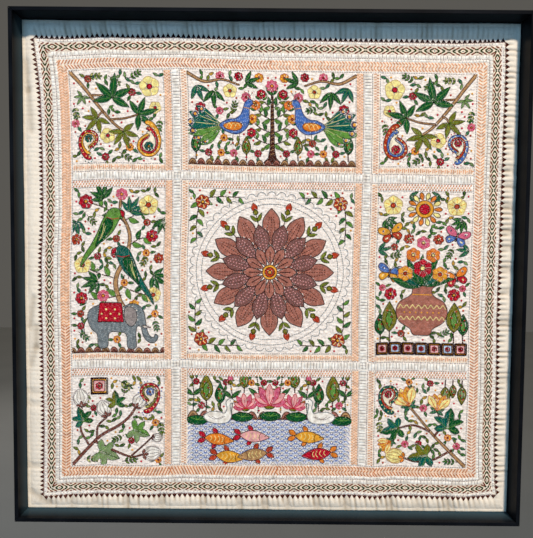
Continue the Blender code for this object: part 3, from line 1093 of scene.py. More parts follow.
def peacock_panel():
    """The panel above the middle: a tree of life between two peacocks."""
    sides = mirrored(Spot())
    for side in sides:
        peacock(side.at(-88, 350, 0, 1.28))
        bank(side.at(-200, 255), 200, 14)
        work(side, tree, (-62, 266, 0, 58), (-182, 266, 0, 64, "green"))
        for x, thread in ((-152, "red"), (-122, "gold"), (-92, "pink"), (-34, "red")):
            small_flower(side.at(x, 284, 10 * x), thread, 9.5)
    branch_tree(Spot(0, 262, 0, 1.08))
    for side in sides:
        branches(side, "tan", (7, 3, (-200, 470), (-160, 450), (-118, 456), (-76, 444)))
        work(side, palm, (-180, 440, -66, 40, "teal", 3, 130), (-140, 430, -86, 42, "green", 3, 130),
             (-62, 450, 20, 36, "green", 3, 130))
        work(side, flower, (-100, 430, 0, 17, 5, "yellow", "rust"), (-170, 388, 0, 14, 7, "red", "rust"),
             (-78, 464, 0, 11, 7, "red", "rust"), (-122, 464, 0, 11, 7, "pink", "rust"),
             (-30, 462, 0, 12, 7, "gold", "rust"), (-62, 416, 0, 12, 7, "pink", "rust"))


def pond_panel():
    """The panel below the middle: a pond with lotuses, water birds and fish."""
    for x, y, flip, body, fin in ((-158, -410, False, "orange", "red"), (-4, -448, True, "tan", "rust"),
                                  (62, -404, False, "gold", "orange"), (-72, -402, False, "rose", "red"),
                                  (152, -446, True, "red", "orange"), (-130, -454, False, "gold", "rust")):
        fish(Spot(x, y, 8 if flip else -6, 1.2, flip), body, fin)
    for x, flip in ((-122, False), (122, True)):
        swan(Spot(x, -360, 0, 1.35, flip))
    work(Spot(), side_lotus, (-58, -334, 8, 1.3), (0, -326, 0, 1.8), (58, -334, -8, 1.3))
    for x, y in ((-176, -366), (-66, -356), (2, -354), (66, -356), (176, -366)):
        pad = Spot(x, y)
        for angle in range(20, 180, 40):
            line(pad, [(0, 0), unit(angle) * (20, 9)], "leaf", 1.8)
        shape(pad, ring(26, 18, 0.46), "green", "pine")
    waves(-199, -476, 199, -362)
    for side in mirrored(Spot()):
        bank(side.at(-200, -362), 200, 20)
        for x, height, thread in ((-186, 86, "rust"), (-92, 74, "pink"), (-28, 92, "rust")):
            line(side.at(x, -346), [(0, 0), (2, 0.5 * height), (-3, height)], "pine", 2.6)
            bud(side.at(x - 3, -350 + height, 90), 26, thread)
            for turn in (40, 140):
                leaf(side.at(x, -330 + 0.3 * height, turn), 30, 11, "green")
        work(side, tree, (-154, -342, 0, 92), (-120, -342, 0, 70, "green"), (-62, -300, 0, 62))
        for x, thread in ((-178, "red"), (-106, "red"), (-44, "gold"), (-14, "red")):
            small_flower(side.at(x, -270, 9 * x), thread, 9.0)


def parrot_panel():
    """The panel left of the middle: two parrots in a flowering tree, over an elephant."""
    left = Spot(-PANEL_MIDDLE)
    elephant(left.at(-4, -144, 0, 1.42))
    bank(left.at(-119, -199), 238, 13)
    parrot(left.at(-38, 104, 0, 1.5), "leaf")
    parrot(left.at(36, 14, 0, 1.5, True), "teal")
    for x, y, radius, thread in (
            (70, 158, 24, "yellow"), (-80, 166, 18, "red"), (80, 84, 16, "red"), (-84, 14, 21, "yellow"),
            (86, -58, 19, "yellow"), (-86, -66, 16, "red"), (6, 182, 15, "pink"), (-34, -62, 15, "pink"),
            (98, 30, 13, "rust"), (-100, 76, 14, "rust"), (40, -84, 14, "gold"), (-6, 40, 12, "red")):
        petals, heart, streak = (5, "rust", "gold") if thread == "yellow" else (7, "gold", None)
        flower(left.at(x, y), radius, petals, thread, heart, streak)
    work(left, palm, (-48, -26, 200, 42, "green", 5, 170), (84, -14, -30, 42, "green", 5, 170),
         (26, 140, 60, 42, "teal", 5, 170), (-36, 172, 120, 42, "green", 5, 170),
         (-104, 120, 250, 42, "teal", 5, 170), (104, 124, -70, 42, "green", 5, 170))
    for path in ([(10, -60), (-40, -70), (-84, -68)], [(-6, -20), (-50, -6), (-84, 14)],
                 [(14, -40), (50, -54), (84, -58)], [(24, 60), (50, 76), (80, 84)],
                 [(20, 110), (-30, 146), (-80, 166)], [(14, 120), (44, 138), (70, 158)]):
        spray(left, path, 4, 28, 13, ("leaf", "green"), 2.8)
    branches(left, "tan", (12, 5, (22, -100), (4, -70), (-4, -20), (22, 40), (26, 90), (4, 140), (4, 176)))


def pot_panel():
    """The panel right of the middle: a pot of flowers below the sun, with butterflies."""
    right = Spot(PANEL_MIDDLE)
    kalash(right.at(0, -150, 0, 1.34))
    for number in range(7):
        mat(right.at(-93 + 31 * number, -183), 29, ("rose", "pale_blue")[number % 2])
    sun(right.at(0, 156), 42)
    for x, y, turn, upper, lower in ((-76, 96, 14, "gold", "rust"), (76, 90, -18, "pink", "blue"),
                                     (-78, 0, -12, "blue", "gold"), (78, -8, 16, "orange", "red")):
        butterfly(right.at(x, y, turn, 1.2), upper, lower)
    for side in mirrored(right):
        work(side, tree, (-76, -168, 0, 100), (-98, -168, 0, 72, "green"))
        work(side, flower, (-74, -50, 0, 16, 7, "red"), (-74, 164, 0, 24, 5, "yellow", "rust", "gold"))
        work(side, palm, (-90, 130, -50, 34, "green", 5, 150), (-36, 186, -10, 28, "teal", 3, 120),
             (-106, 56, 10, 32, "teal", 3, 120))
        small_flower(side.at(-94, -34), "pink", 9.0)
        flower(side.at(-34, 84), 13, 7, "rust", "yellow")


def palm_corner(corner, colours):
    """A branch from the corner with long leaflets and pale yellow flowers, and two paisleys."""
    ground, band, knots = colours
    work(corner, kalka, (74, -58, -20, 0.7, colours), (-74, -60, 160, 0.58, (band, ground, knots)))
    work(corner, palm, (-14, 44, 80, 60, "green"), (-50, -4, 226, 42, "olive"), (48, 6, 14, 50, "green"),
         (10, -36, -70, 44, "olive"), (-84, 50, 236, 24, "sage"))
    work(corner, flower, (76, 72, 152, 25, 5, "yellow", "red"), (-26, -46, -52, 19, 5, "yellow", "red"),
         (88, 22, 176, 15, 5, "yellow", "red"))
    branches(corner, "tan", (4, 3, (-62, 52), (-38, 50), (-14, 44)), (4, 3, (-34, 12), (-44, 6), (-50, -4)),
             (4, 3, (-20, -8), (16, -4), (48, 6)),
             (8, 4, (-112, 112), (-80, 72), (-44, 22), (-8, -20), (34, -46)))
    work(corner, sprig, (-70, 96, 0, 26, ("olive", "yellow")), (-20, 96, -40, 26, ("sage", "olive")),
         (28, 90, 30, 26, ("pine", "leaf")), (-104, 30, -80, 26, ("green", "yellow")),
         (0, -84, -30, 26, ("pine", "olive")), (100, -2, -100, 26, ("sage", "leaf")))
    work(corner, small_flower, (-32, -96, -96, "red"), (34, 58, 102, "red"), (-102, -14, -306, "pink"),
         (26, -72, 78, "gold"))


def cotton_corner(corner, colours):
    """A brown branch from the corner with white bolls and lobed leaves, and a paisley."""
    kalka(corner.at(76, -62, -10), 0.62, colours)
    mat(corner.at(-46, -84), 40, "rose")
    work(corner, lobed, (-46, 78, 20, 52, "sage", "sage"), (-84, 4, 250, 40, "green", "teal"),
         (34, 22, 20, 44, "sage", "leaf"), (-6, -38, 265, 36, "green", "olive"))
    work(corner, boll, (58, 84, -8, 44), (-28, -8, 250, 42), (-88, -34, 262, 44), (40, -32, -60, 40),
         (80, 40, 10, 26))
    branches(corner, "cocoa", (5, 3, (-60, 52), (-10, 76), (30, 90), (58, 84)),
             (3, 2, (30, 88), (60, 60), (80, 40)), (4, 3, (-52, 46), (-50, 16), (-28, -8)),
             (4, 3, (-72, 60), (-92, 20), (-88, -34)),
             (7, 4, (-112, 112), (-76, 72), (-44, 40), (-2, 14), (24, -8), (40, -32)))
    work(corner, sprig, (-84, 96, 0, 28, ("pine", "yellow")), (8, 102, -10, 28, ("pine", "olive")),
         (-70, -70, 110, 28, ("olive", "yellow")), (0, -98, 30, 28, ("pine", "yellow")),
         (98, 0, 80, 28, ("olive", "sage")), (12, -60, -80, 28, ("pine", "olive")))
    work(corner, small_flower, (96, 98, 288, "gold", 9.0), (30, 50, 90, "red", 9.0),
         (-60, -30, -180, "red", 9.0))


def blossom_corner(corner, colours):
    """A tan branch from the corner with striped yellow blossoms, teal leaves and a pale boll."""
    kalka(corner.at(78, -60, -10), 0.6, colours)
    work(corner, lobed, (-66, 14, 262, 54, "teal", "green"), (-20, 84, 10, 50, "teal", "olive"),
         (50, 16, 14, 46, "green", "teal"))
    work(corner, blossom, (26, -40, -62, 50), (-40, -30, 262, 44), (68, 50, 30, 34))
    boll(corner.at(36, 92, -12), 46, "yellow", "tan", "orange")
    branches(corner, "cocoa", (4, 3, (-78, 68), (-30, 96), (10, 100), (36, 92)),
             (4, 3, (-24, 22), (14, 8), (50, 16)), (3, 2, (50, 16), (62, 30), (68, 50)),
             (4, 3, (-36, 34), (-52, 4), (-40, -30)))
    branches(corner, "tan", (8, 4, (-112, 112), (-70, 70), (-30, 28), (26, -40)))
    work(corner, tree, (-98, -108, 0, 62, "olive", "sage"), (-76, -108, 0, 46, "olive", "sage"),
         (-58, -108, 0, 66, "olive", "sage"))
    work(corner, sprig, (-92, 98, 0, 26, ("green", "teal")), (0, -72, -30, 26, ("pine", "yellow")),
         (100, -8, 100, 26, ("olive", "yellow")))
    work(corner, small_flower, (-22, -98, -66, "red", 9.0), (28, -100, 84, "gold", 9.0),
         (2, 54, 6, "red", 9.0))


def corner_panels():
    """The four corner panels, each drawn with its outer corner at the upper left."""
    for right, up, draw, colours in ((-1, 1, palm_corner, ("red", "gold", "teal")),
                                     (1, 1, palm_corner, ("blue", "rust", "red")),
                                     (-1, -1, cotton_corner, ("olive", "red", "blue")),
                                     (1, -1, blossom_corner, ("rust", "teal", "red"))):
        turn = 0 if up > 0 else 180
        draw(Spot(PANEL_MIDDLE * right, PANEL_MIDDLE * up, turn, 1.0, right * up > 0), colours)


def panels():
    """The lowest and highest corner of each of the nine panels."""
    spans = ((-FIELD_HALF, -OUTER_PANEL), (-CENTRE_HALF, CENTRE_HALF), (OUTER_PANEL, FIELD_HALF))
    return [((x0, y0), (x1, y1)) for x0, x1 in spans for y0, y1 in spans]


def inside_panels():
    """Which places of the drawing lie in one of the nine panels."""
    found = np.zeros_like(taken)
    for low, high in panels():
        (x0, x1), (y0, y1) = [(round(a + TAKEN_HALF), round(b + TAKEN_HALF)) for a, b in zip(low, high)]
        found[y0:y1, x0:x1] = True
    return found


# What fills the panels' bare ground: the motif and the room it needs round it, in millimetres. Then
# the share of places that take one, in the middle panel, in its neighbours and in the corners, the
# circle round the medallion that stays free, and the share of places that take a knot.
FILLERS = (("sprig", 19.0), ("flower", 15.0), ("leaves", 9.0), ("knot", 6.0))
FULLNESS = (0.3, 1.0, 0.5)
FREE_CIRCLE = 206
KNOT_SHARE = 0.2
FILLER_LEAVES = (("green", "leaf"), ("pine", "olive"), ("olive", "gold"), ("teal", "sage"))


def bare_places(reach):
    """Places with bare ground all round them, and the chance drawn for each."""
    for low, high in panels():
        steps_away = (abs(low[0]) > CENTRE_HALF) + (abs(low[1]) > CENTRE_HALF)
        for x in np.arange(low[0] + 0.8 * reach, high[0] - 0.7 * reach, 0.7 * reach):
            for y in np.arange(low[1] + 0.8 * reach, high[1] - 0.7 * reach, 0.7 * reach):
                place = np.array([x, y]) + RANDOM.uniform(-2.0, 2.0, 2)
                chance = RANDOM.random()
                in_circle = steps_away == 0 and np.hypot(*place) < FREE_CIRCLE
                near = np.concatenate([place + ring(reach, 12), place + ring(0.5 * reach, 8)])
                if chance <= FULLNESS[steps_away] and not in_circle and is_free(near).all():
                    yield place, chance


def scatter_fillers():
    """Sprigs, flowers, leaves and knots where a panel's ground is still bare, the larger ones first."""
    for kind, reach in FILLERS:
        for place, chance in bare_places(reach):
            spot = Spot(*place, RANDOM.uniform(0, 360))
            pick = int(4 * RANDOM.random())
            colours = FILLER_LEAVES[pick]
            if kind == "sprig":
                sprig(spot.at(-15), 24, colours)
            elif kind == "flower":
                small_flower(spot, ("red", "gold", "pink", "rust")[pick], 9.5)
            elif kind == "leaves":
                work(spot, leaf, (-1, 0, 20, 16, 7.5, colours[0]), (-1, 0, 150, 14, 7, colours[1]))
            elif chance < KNOT_SHARE:
                dot(spot, ("red", "red", "gold", "rust")[pick], size=5.0)
                claim(place + ring(8.0, 8))


# Borders and bands

def side_points(side, stitches):
    """Turns places along a side and outwards from the middle into places in the drawing."""
    stitches = np.asarray(stitches, dtype=float).reshape(-1, 4)
    if side in ("bottom", "left"):
        stitches = stitches * (1, -1, 1, -1)
    return stitches[:, (1, 0, 3, 2)] if side in ("left", "right") else stitches


def sawtooth_border():
    """Dark triangles that point outwards from a thin line."""
    for side in SIDES:
        pitch = 2 * BASE / TRIANGLES[side]
        for number in range(TRIANGLES[side]):
            middle = -BASE + (number + 0.5) * pitch
            tip = TIP + RANDOM.uniform(-TIP_WANDER, TIP_WANDER)
            lean = RANDOM.uniform(-TIP_WANDER, TIP_WANDER)
            foot = 0.45 * pitch
            outline = np.array([(middle - foot, BASE), (middle + foot, BASE), (middle + lean, tip)])
            stitches = side_points(side, darn(outline, 90, 1.1, 12))
            # Painted shade: the top side's triangles, in the top rail's shadow, take the darker maroon; the
            # others take oxblood
            sew("maroon" if side == "top" else "oxblood", stitches, 1.9, piece="border")
        foot_line = along([(-BASE, BASE - 0.8), (BASE, BASE - 0.8)])
        sew("mauve", side_points(side, foot_line), 1.3, piece="border")


def shade_strokes(stitches, strong_share, widths, lift, piece):
    """Painted shade midway between stitches that lie side by side: strokes, some grey, the others paler."""
    between = (stitches[1:] + stitches[:-1]) / 2
    strong = RANDOM.random(len(between)) < strong_share
    sew("grey", between[strong], widths[0], STROKE_HEIGHT, lift, piece)
    sew("mist", between[~strong], widths[1], STROKE_HEIGHT, lift, piece)


def slanted(reach, half_repeat):
    """Where a diamond's side starts and ends across the band, cut off by its neighbours and the band."""
    return max(0.0, (reach - half_repeat) / DIAMOND_SLOPE), min(DIAMOND_HALF, reach / DIAMOND_SLOPE)


def diamond_lines(half_repeat):
    """Nested diamonds: thread, and two ends as places along and across the band."""
    sides = []
    for share in DIAMOND_REACHES:
        reach = share * half_repeat
        low, high = slanted(reach, half_repeat)
        sides.append(("moss", reach, low, min(high, GREEN_HALF + 0.3)))
        sides.append(("red_brown", reach, max(low, GREEN_HALF - 0.3), high))
    for share in WHITE_REACHES:
        reach = share * half_repeat
        sides.append(("ecru", reach, *slanted(reach, half_repeat)))
    found = [("slate", -2.2, 0.0, 2.2, 0.0)]
    for thread, reach, low, high in sides:
        if high - low < 1.0:
            continue
        for a in (-1, 1):
            for b in (-1, 1):
                found.append((thread, a * (reach - DIAMOND_SLOPE * low), b * low,
                              a * (reach - DIAMOND_SLOPE * high), b * high))
    return found


def mitred(ends, axis):
    """The part of a stitch within the mitres of a band's corners, or nothing."""
    start, end = np.array(ends[:2]), np.array(ends[2:])
    room = [axis + place[1] - abs(place[0]) for place in (start, end)]
    if max(room) <= 0.5:
        return None
    if room[0] < 0:
        start = start + (end - start) * room[0] / (room[0] - room[1])
    if room[1] < 0:
        end = end + (start - end) * room[1] / (room[1] - room[0])
    return start[0], axis + start[1], end[0], axis + end[1]


def diamond_border():
    """A band of nested diamonds in dark green and red brown, mitred at the corners."""
    widths = {"moss": 3.5, "red_brown": 3.2, "ecru": 2.2, "slate": 2.6}
    for side in SIDES:
        count = DIAMONDS[side]
        repeat = 2 * (DIAMOND_AXIS + DIAMOND_HALF) / count
        for number in range(count):
            middle = -(DIAMOND_AXIS + DIAMOND_HALF) + (number + 0.5) * repeat
            for thread, a0, b0, a1, b1 in diamond_lines(repeat / 2):
                ends = mitred((middle + a0, b0, middle + a1, b1), DIAMOND_AXIS)
                if ends:
                    sew(thread, side_points(side, ends), widths[thread], piece="border")


def cross_row(side, out, pitch, length, width):
    """Short white stitches across a row, one after another along one side, and painted-shade strokes between.
    """
    places = np.arange(-out + pitch / 2, out, pitch)
    places = places + RANDOM.uniform(-CROSS_WANDER, CROSS_WANDER, len(places))
    ends = places + RANDOM.uniform(*CROSS_LEAN, len(places))
    stitches = side_points(side, strokes(places, out - length / 2, ends, out + length / 2))
    sew("white", stitches, width, PLUMP_HEIGHT, piece="border")
    shade_strokes(stitches, CROSS_GREY_SHARE, (1.3, 1.2), 0.0, "border")


def plain_rows():
    """Grey running lines on both sides of the orange band, with white stitches between."""
    for side in SIDES:
        for out in (DASHED_LINE, FIELD_HALF + 1.2):
            stitches = along([(-out, out), (out, out)], GREY_LENGTH, GREY_GAP)
            sew("grey", side_points(side, stitches), GREY_WIDTH, piece="border")
        for values in CROSS_ROWS:
            cross_row(side, *values)


def band_ground(thread, stitches):
    """The flat pale rows that lie under a band's or a bar's stitches."""
    sew(thread, stitches, 3.6, 0.3, piece="bands", form="lozenge")


def leaning_row(side, start, end, low, high, lean, thread, width, pitch):
    """Slanting stitches side by side in one column of a band."""
    places = np.arange(start, end, pitch)
    stitches = strokes(places - lean / 2, low + 0.2, places + lean / 2, high - 0.2)
    stitches = stitches[np.abs(places) < low + (high - low) / 2]
    sew(thread, side_points(side, stitches), width, 0.5, 0.15, piece="bands")


def orange_bands():
    """The orange band: pale rows under slanting darker stitches, in columns that lean by turns."""
    pale = darn(rectangle(-BAND_OUT, BAND_IN, BAND_OUT, BAND_OUT), 0, BAND_PITCH, BAND_STITCH)
    pale = pale[np.maximum(np.abs(pale[:, 0]), np.abs(pale[:, 2])) < pale[:, 1] + 3.0]
    for side, base in ORANGE_BASE.items():
        band_ground(base, side_points(side, pale))
    for side, stretches in ORANGE_WORK.items():
        for start, end, columns, thread, width, pitch in stretches:
            step = (BAND_OUT - BAND_IN) / abs(columns)
            for column in range(abs(columns)):
                low = BAND_IN + column * step
                forward = (column % 2) == (columns > 0)
                lean = ORANGE_LEANS[abs(columns)] * step * (1 if forward else -1)
                leaning_row(side, start, end, low, low + step, lean, thread, width, pitch)
    claim_ring(BAND_IN, BAND_OUT)


# The work on the orange bars round the panels: the thread under each kind of bar, how long its
# repeat is, and its stitches: the thread, the place in the repeat, from and to across the bar, how
# far the stitch leans, and its width
BARS = {
    "fence": ("shell", 14.0, (("peach", 1.6, -5.4, 5.4, 0.6, 2.4), ("peach", 6.4, -5.4, 5.4, -0.6, 2.4),
                              ("orange", 10.4, -1.4, 1.4, 2.6, 2.2))),
    "twill": ("white", 6.8, (("apricot", 0.0, -7.6, -3.0, 1.6, 3.0), ("peach", 3.4, -2.4, 2.4, 1.6, 3.4),
                             ("apricot", 0.0, 3.0, 7.6, 1.6, 3.0))),
    "satin": ("salmon", 7.0, (("peach", 0.0, -7.4, -2.6, 3.0, 2.4), ("peach", 3.5, -2.6, 2.6, -3.0, 2.4),
                              ("peach", 0.0, 2.6, 7.4, 3.0, 2.4))),
    "dashes": ("shell", 6.6, (("apricot", 0.0, -5.6, -0.8, 0.6, 2.4), ("peach", 3.3, -1.0, 5.8, -0.6, 2.4))),
}


def frame_bar(start, end, kind):
    """A straight orange bar of a panel's frame, from one corner of its axis to the other."""
    length = np.hypot(*(end - start))
    spot = Spot(*start, heading(*(end - start)))
    ground, repeat, columns = BARS[kind]
    for thread, shift, low, high, lean, width in columns:
        places = np.arange(1.5 + shift, length - 1.5, repeat)
        stitches = strokes(places - lean / 2, low, places + lean / 2, high)
        stitches = np.hstack([spot(stitches[:, :2]), spot(stitches[:, 2:])])
        sew(thread, stitches, width, 0.6, 0.25, piece="bands")
    outline = spot(rectangle(0, -BAR / 2, length, BAR / 2))
    band_ground(ground, darn(outline, spot.direction(0), BAND_PITCH, BAND_STITCH))
    claim(outline)


def panel_frames():
    """Orange bars round each panel on the sides that face a channel, with grey lines beside them."""
    limit = FIELD_HALF - 0.5
    half = BAR / 2
    for (x0, y0), (x1, y1) in panels():
        edges = (("dashes", x0, (x0 - half, y0), (x0 - half, y1), (0, 1)),
                 ("satin", x1, (x1 + half, y0), (x1 + half, y1), (0, 1)),
                 ("fence", y0, (x0, y0 - half), (x1, y0 - half), (1, 0)),
                 ("twill", y1, (x0, y1 + half), (x1, y1 + half), (1, 0)))
        for kind, place, start, end, direction in edges:
            if abs(place) >= FIELD_HALF:
                continue
            direction = np.array(direction)
            start = np.clip(start - direction * BAR, -limit, limit)
            end = np.clip(end + direction * BAR, -limit, limit)
            for shift in (-half - 1.2, half + 1.2):
                across = direction[::-1] * shift
                stitches = along([start + across, end + across], GREY_LENGTH, BAR_GREY_GAP)
                sew("grey", stitches, GREY_WIDTH, piece="bands")
            frame_bar(start, end, kind)


def centre_rings():
    """Quilting in rings round the middle, out to the corners of the middle panel."""
    for radius in np.arange(100.0, 1.4 * CENTRE_HALF, GROUND_PITCH):
        stitches = along(loop(ring(radius, 90)), GROUND_STITCH, GROUND_SPACE)
        stitches = stitches[np.abs(stitches).max(axis=1) < CENTRE_HALF - 1]
        sew("snow", stitches, GROUND_WIDTH, PLUMP_HEIGHT, piece="ground", form="lozenge")
    claim(rectangle(-CENTRE_HALF, -CENTRE_HALF, CENTRE_HALF, CENTRE_HALF))


def channel_rows():
    """White satin across the channels between the panels, with grey strokes of painted shade between the
    stitches.
    """
    middle = (CENTRE_HALF + OUTER_PANEL) / 2
    reach = CHANNEL / 2 - CHANNEL_MARGIN
    for level in (-middle, middle):
        for upright in (False, True):
            places = np.arange(-FIELD_HALF + 3, FIELD_HALF - 2, CHANNEL_PITCH)
            places = places + RANDOM.uniform(-CHANNEL_WANDER, CHANNEL_WANDER, len(places))
            lean = RANDOM.uniform(-CHANNEL_LEAN, CHANNEL_LEAN, len(places))
            stitches = strokes(places - lean, level - reach, places + lean, level + reach)
            if upright:
                stitches = stitches[:, (1, 0, 3, 2)]
            shade_strokes(stitches, CHANNEL_GREY_SHARE, (1.4, 1.4), 0.3, "ground")
            sew("white", stitches, CHANNEL_PITCH - CHANNEL_SPACE, PLUMP_HEIGHT, piece="ground")


def ground_stitches():
    """Rows of running stitches over all the bare ground inside the border."""
    channel_rows()
    centre_rings()
    step = GROUND_STITCH + GROUND_SPACE
    for number, y in enumerate(np.arange(-BASE + 3, BASE - 2, GROUND_PITCH)):
        starts = np.arange(-BASE + 3 + step / 2 * (number % 2), BASE - step, step)
        ahead, above, longer, tilts = [RANDOM.uniform(-most, most, len(starts)) for most in GROUND_WANDERS]
        starts = starts + ahead
        levels = y + 0.9 * np.sin(starts / 37.0 + number) + above
        stitches = np.column_stack([starts, levels, starts + (GROUND_STITCH + longer), levels + tilts])
        sew("snow", stitches, GROUND_WIDTH, PLUMP_HEIGHT, piece="ground", form="lozenge")


# Materials

def new_material(name, base, constants):
    """A material with a base colour and other constants, its node tree, and its shader's sockets."""
    made = bpy.data.materials.new(name)
    made.use_nodes = True
    shader = made.node_tree.nodes["Principled BSDF"]
    shader.inputs["Base Color"].default_value = (*base, 1.0)
    for socket, value in constants.items():
        shader.inputs[socket].default_value = value
    return made, made.node_tree, shader.inputs


def add_node(tree, kind, output, constants, wires, **settings):
    """Adds a node with settings, constants and links on its sockets, and gives one of its outputs."""
    made = tree.nodes.new(kind)
    for name, value in settings.items():
        setattr(made, name, value)
    for socket, value in constants.items():
        made.inputs[socket].default_value = value
    for socket, source in wires.items():
        tree.links.new(source, made.inputs[socket])
    return made.outputs[output]


def noise(tree, scale, detail=3.0, stretch=None):
    """Noise over the object's own coordinates, drawn out along one axis when stretch is given."""
    place = add_node(tree, "ShaderNodeTexCoord", "Object", {}, {})
    if stretch:
        place = add_node(tree, "ShaderNodeMapping", "Vector", {"Scale": stretch}, {"Vector": place})
    return add_node(tree, "ShaderNodeTexNoise", "Fac", {"Scale": scale, "Detail": detail}, {"Vector": place})


def blend_colours(tree, factor, dark, light, low=0.35, high=0.65):
    """A colour that runs from dark to light with a factor."""
    made = tree.nodes.new("ShaderNodeValToRGB")
    for element, position, colour in zip(made.color_ramp.elements, (low, high), (dark, light)):
        element.position = position
        element.color = (*colour, 1.0)
    tree.links.new(factor, made.inputs["Fac"])
    return made.outputs["Color"]


def shaded(tree, colour, factor, low, high, tint, strength):
    """A colour blended towards a tint where a factor rises from low to high."""
    reach = add_node(tree, "ShaderNodeMapRange", "Result",
                     {"From Min": low, "From Max": high, "To Max": strength}, {"Value": factor})
    return add_node(tree, "ShaderNodeMix", 2, {7: (*tint, 1.0)}, {0: reach, 6: colour}, data_type="RGBA")


def bump(tree, height, distance, strength, under=None):
    """A bump of a height in metres, over another one when it is given."""
    wires = {"Height": height, "Normal": under} if under else {"Height": height}
    return add_node(tree, "ShaderNodeBump", "Normal", {"Distance": distance, "Strength": strength}, wires)


def product(tree, first, second):
    return add_node(tree, "ShaderNodeMath", 0, {}, {0: first, 1: second}, operation="MULTIPLY")


# The cloth's plain cotton, and the tints laid over it: the factor, from and to, tint and strength
PLAIN_COTTON = "F0E9DA"
CLOTH_TINTS = (
    ("quilted", 0.0, 1.0, "FBF4EC", 1.0),
    ("border", 0.0, 1.0, "AE9A78", 0.6),
    # painted shade in the dimples between the quilting stitches
    ("dimple_shade", 0.42, 0.64, "B4A69C", 0.5),
    ("stipple", 0.5, 0.7, "C4B49C", 0.22),
    # painted shade along the folds, creases and gathers
    ("crease", 0.05, 0.9, "8F7D62", 0.65),
    # painted warm highlight along the hem
    ("hem", 0.2, 1.0, "E6CFA0", 0.15),
)

# The cloth's bumps, the weave first, then crumples and the quilting's ripples: the noise's scale,
# detail and stretch, the bump's distance and strength, and whether only the quilted part has it
CLOTH_BUMPS = (
    (900.0, 2.0, (1.0, 1.0, 0.35), 0.0003, 0.5, False),
    (85.0, 4.0, (1.0, 1.0, 0.7), 0.0022, 0.7, False),
    (170.0, 3.0, (0.5, 1.0, 1.0), 0.004, 0.9, True),
)


def tinted(colour, factor):
    return [min(1.0, channel * factor) for channel in colour]


def thread_material(name):
    """Cotton thread: uneven dye, a soft sheen and the twist of the strands."""
    colour = linear(THREADS[name])
    made, tree, inputs = new_material("thread_" + name, colour, {
        "Roughness": 0.75, "Sheen Weight": 0.015, "Specular IOR Level": 0.04})
    dye = blend_colours(tree, noise(tree, 90.0, 4.0), tinted(colour, 0.72), tinted(colour, 1.24))
    tree.links.new(dye, inputs["Base Color"])
    tree.links.new(bump(tree, noise(tree, 1400.0, 2.0), 0.0002, 0.6), inputs["Normal"])
    return made


def cloth_material():
    """Washed cotton: uneven cream, painted shade in its dimples and creases, a painted highlight at the hem.
    """
    plain = linear(PLAIN_COTTON)
    made, tree, inputs = new_material("quilted_cotton", linear(CLOTH_TINTS[0][3]), {
        "Roughness": 0.92, "Sheen Weight": 0.12, "Specular IOR Level": 0.2})
    factors = {name: add_node(tree, "ShaderNodeAttribute", "Fac", {}, {}, attribute_name=name)
               for name in ("quilted", "border", "hem", "crease")}
    factors["dimple_shade"] = product(tree, noise(tree, 190.0, 2.0, (0.6, 1.0, 1.0)), factors["quilted"])
    factors["stipple"] = noise(tree, 260.0, 2.0)
    colour = blend_colours(tree, noise(tree, 9.0, 6.0), tinted(plain, 0.93), tinted(plain, 1.04), 0.3, 0.7)
    for name, low, high, tint, strength in CLOTH_TINTS:
        colour = shaded(tree, colour, factors[name], low, high, linear(tint), strength)
    tree.links.new(colour, inputs["Base Color"])
    normal = None
    for scale, detail, stretch, distance, strength, quilted in CLOTH_BUMPS:
        height = noise(tree, scale, detail, stretch)
        if quilted:
            height = product(tree, height, factors["quilted"])
        normal = bump(tree, height, distance, strength, normal)
    tree.links.new(normal, inputs["Normal"])
    return made


# The black paint, the painted bluish light that brightens it towards the cloth, and how far behind
# the frame's front that light begins, in metres
BLACK = (0.004, 0.005, 0.007)
PAINTED_LIGHT = (0.034, 0.068, 0.092)
PAINTED_LIGHT_START = 0.008


def paint_material(name, light_share):
    """Satin black paint over wood, with a faint grain, and painted bluish light that grows towards the cloth.
    """
    made, tree, inputs = new_material(name, BLACK, {"Roughness": 0.4, "Specular IOR Level": 0.03})
    patches = noise(tree, 14.0, 5.0)
    colour = blend_colours(tree, patches, tinted(BLACK, 0.8), tinted(BLACK, 1.5))
    place = add_node(tree, "ShaderNodeTexCoord", "Object", {}, {})
    depth = add_node(tree, "ShaderNodeSeparateXYZ", "Y", {}, {"Vector": place})
    colour = shaded(tree, colour, depth, FRAME_FRONT + PAINTED_LIGHT_START, -CLOTH_LEVEL * MM, PAINTED_LIGHT, light_share)
    tree.links.new(colour, inputs["Base Color"])
    gloss = add_node(tree, "ShaderNodeMapRange", "Result", {"To Min": 0.3, "To Max": 0.45},
                     {"Value": patches})
    tree.links.new(gloss, inputs["Roughness"])
    tree.links.new(bump(tree, noise(tree, 260.0, 4.0), 0.0002, 0.35), inputs["Normal"])
    return made


def board_material():
    """A plain brown board with long grain."""
    made, tree, inputs = new_material("plain_board", linear("7E6E58"), {"Roughness": 0.8})
    grain = noise(tree, 60.0, 8.0, (1.0, 1.0, 0.06))
    colour = blend_colours(tree, grain, linear("6E5F4C"), linear("8D7C64"), 0.3, 0.7)
    tree.links.new(colour, inputs["Base Color"])
    tree.links.new(bump(tree, grain, 0.0004, 0.5), inputs["Normal"])
    return made


# The stitches as meshes

def mesh_of_triangles(name, points, triangles):
    """A mesh made in one go, which is quick for many small triangles."""
    mesh = bpy.data.meshes.new(name)
    mesh.vertices.add(len(points))
    mesh.vertices.foreach_set("co", np.ascontiguousarray(points, dtype=np.float32).ravel())
    mesh.loops.add(3 * len(triangles))
    mesh.loops.foreach_set("vertex_index", np.ascontiguousarray(triangles, dtype=np.int32).ravel())
    mesh.polygons.add(len(triangles))
    mesh.polygons.foreach_set("loop_start", np.arange(len(triangles), dtype=np.int32) * 3)
    mesh.update(calc_edges=True)
    mesh.validate()
    return mesh


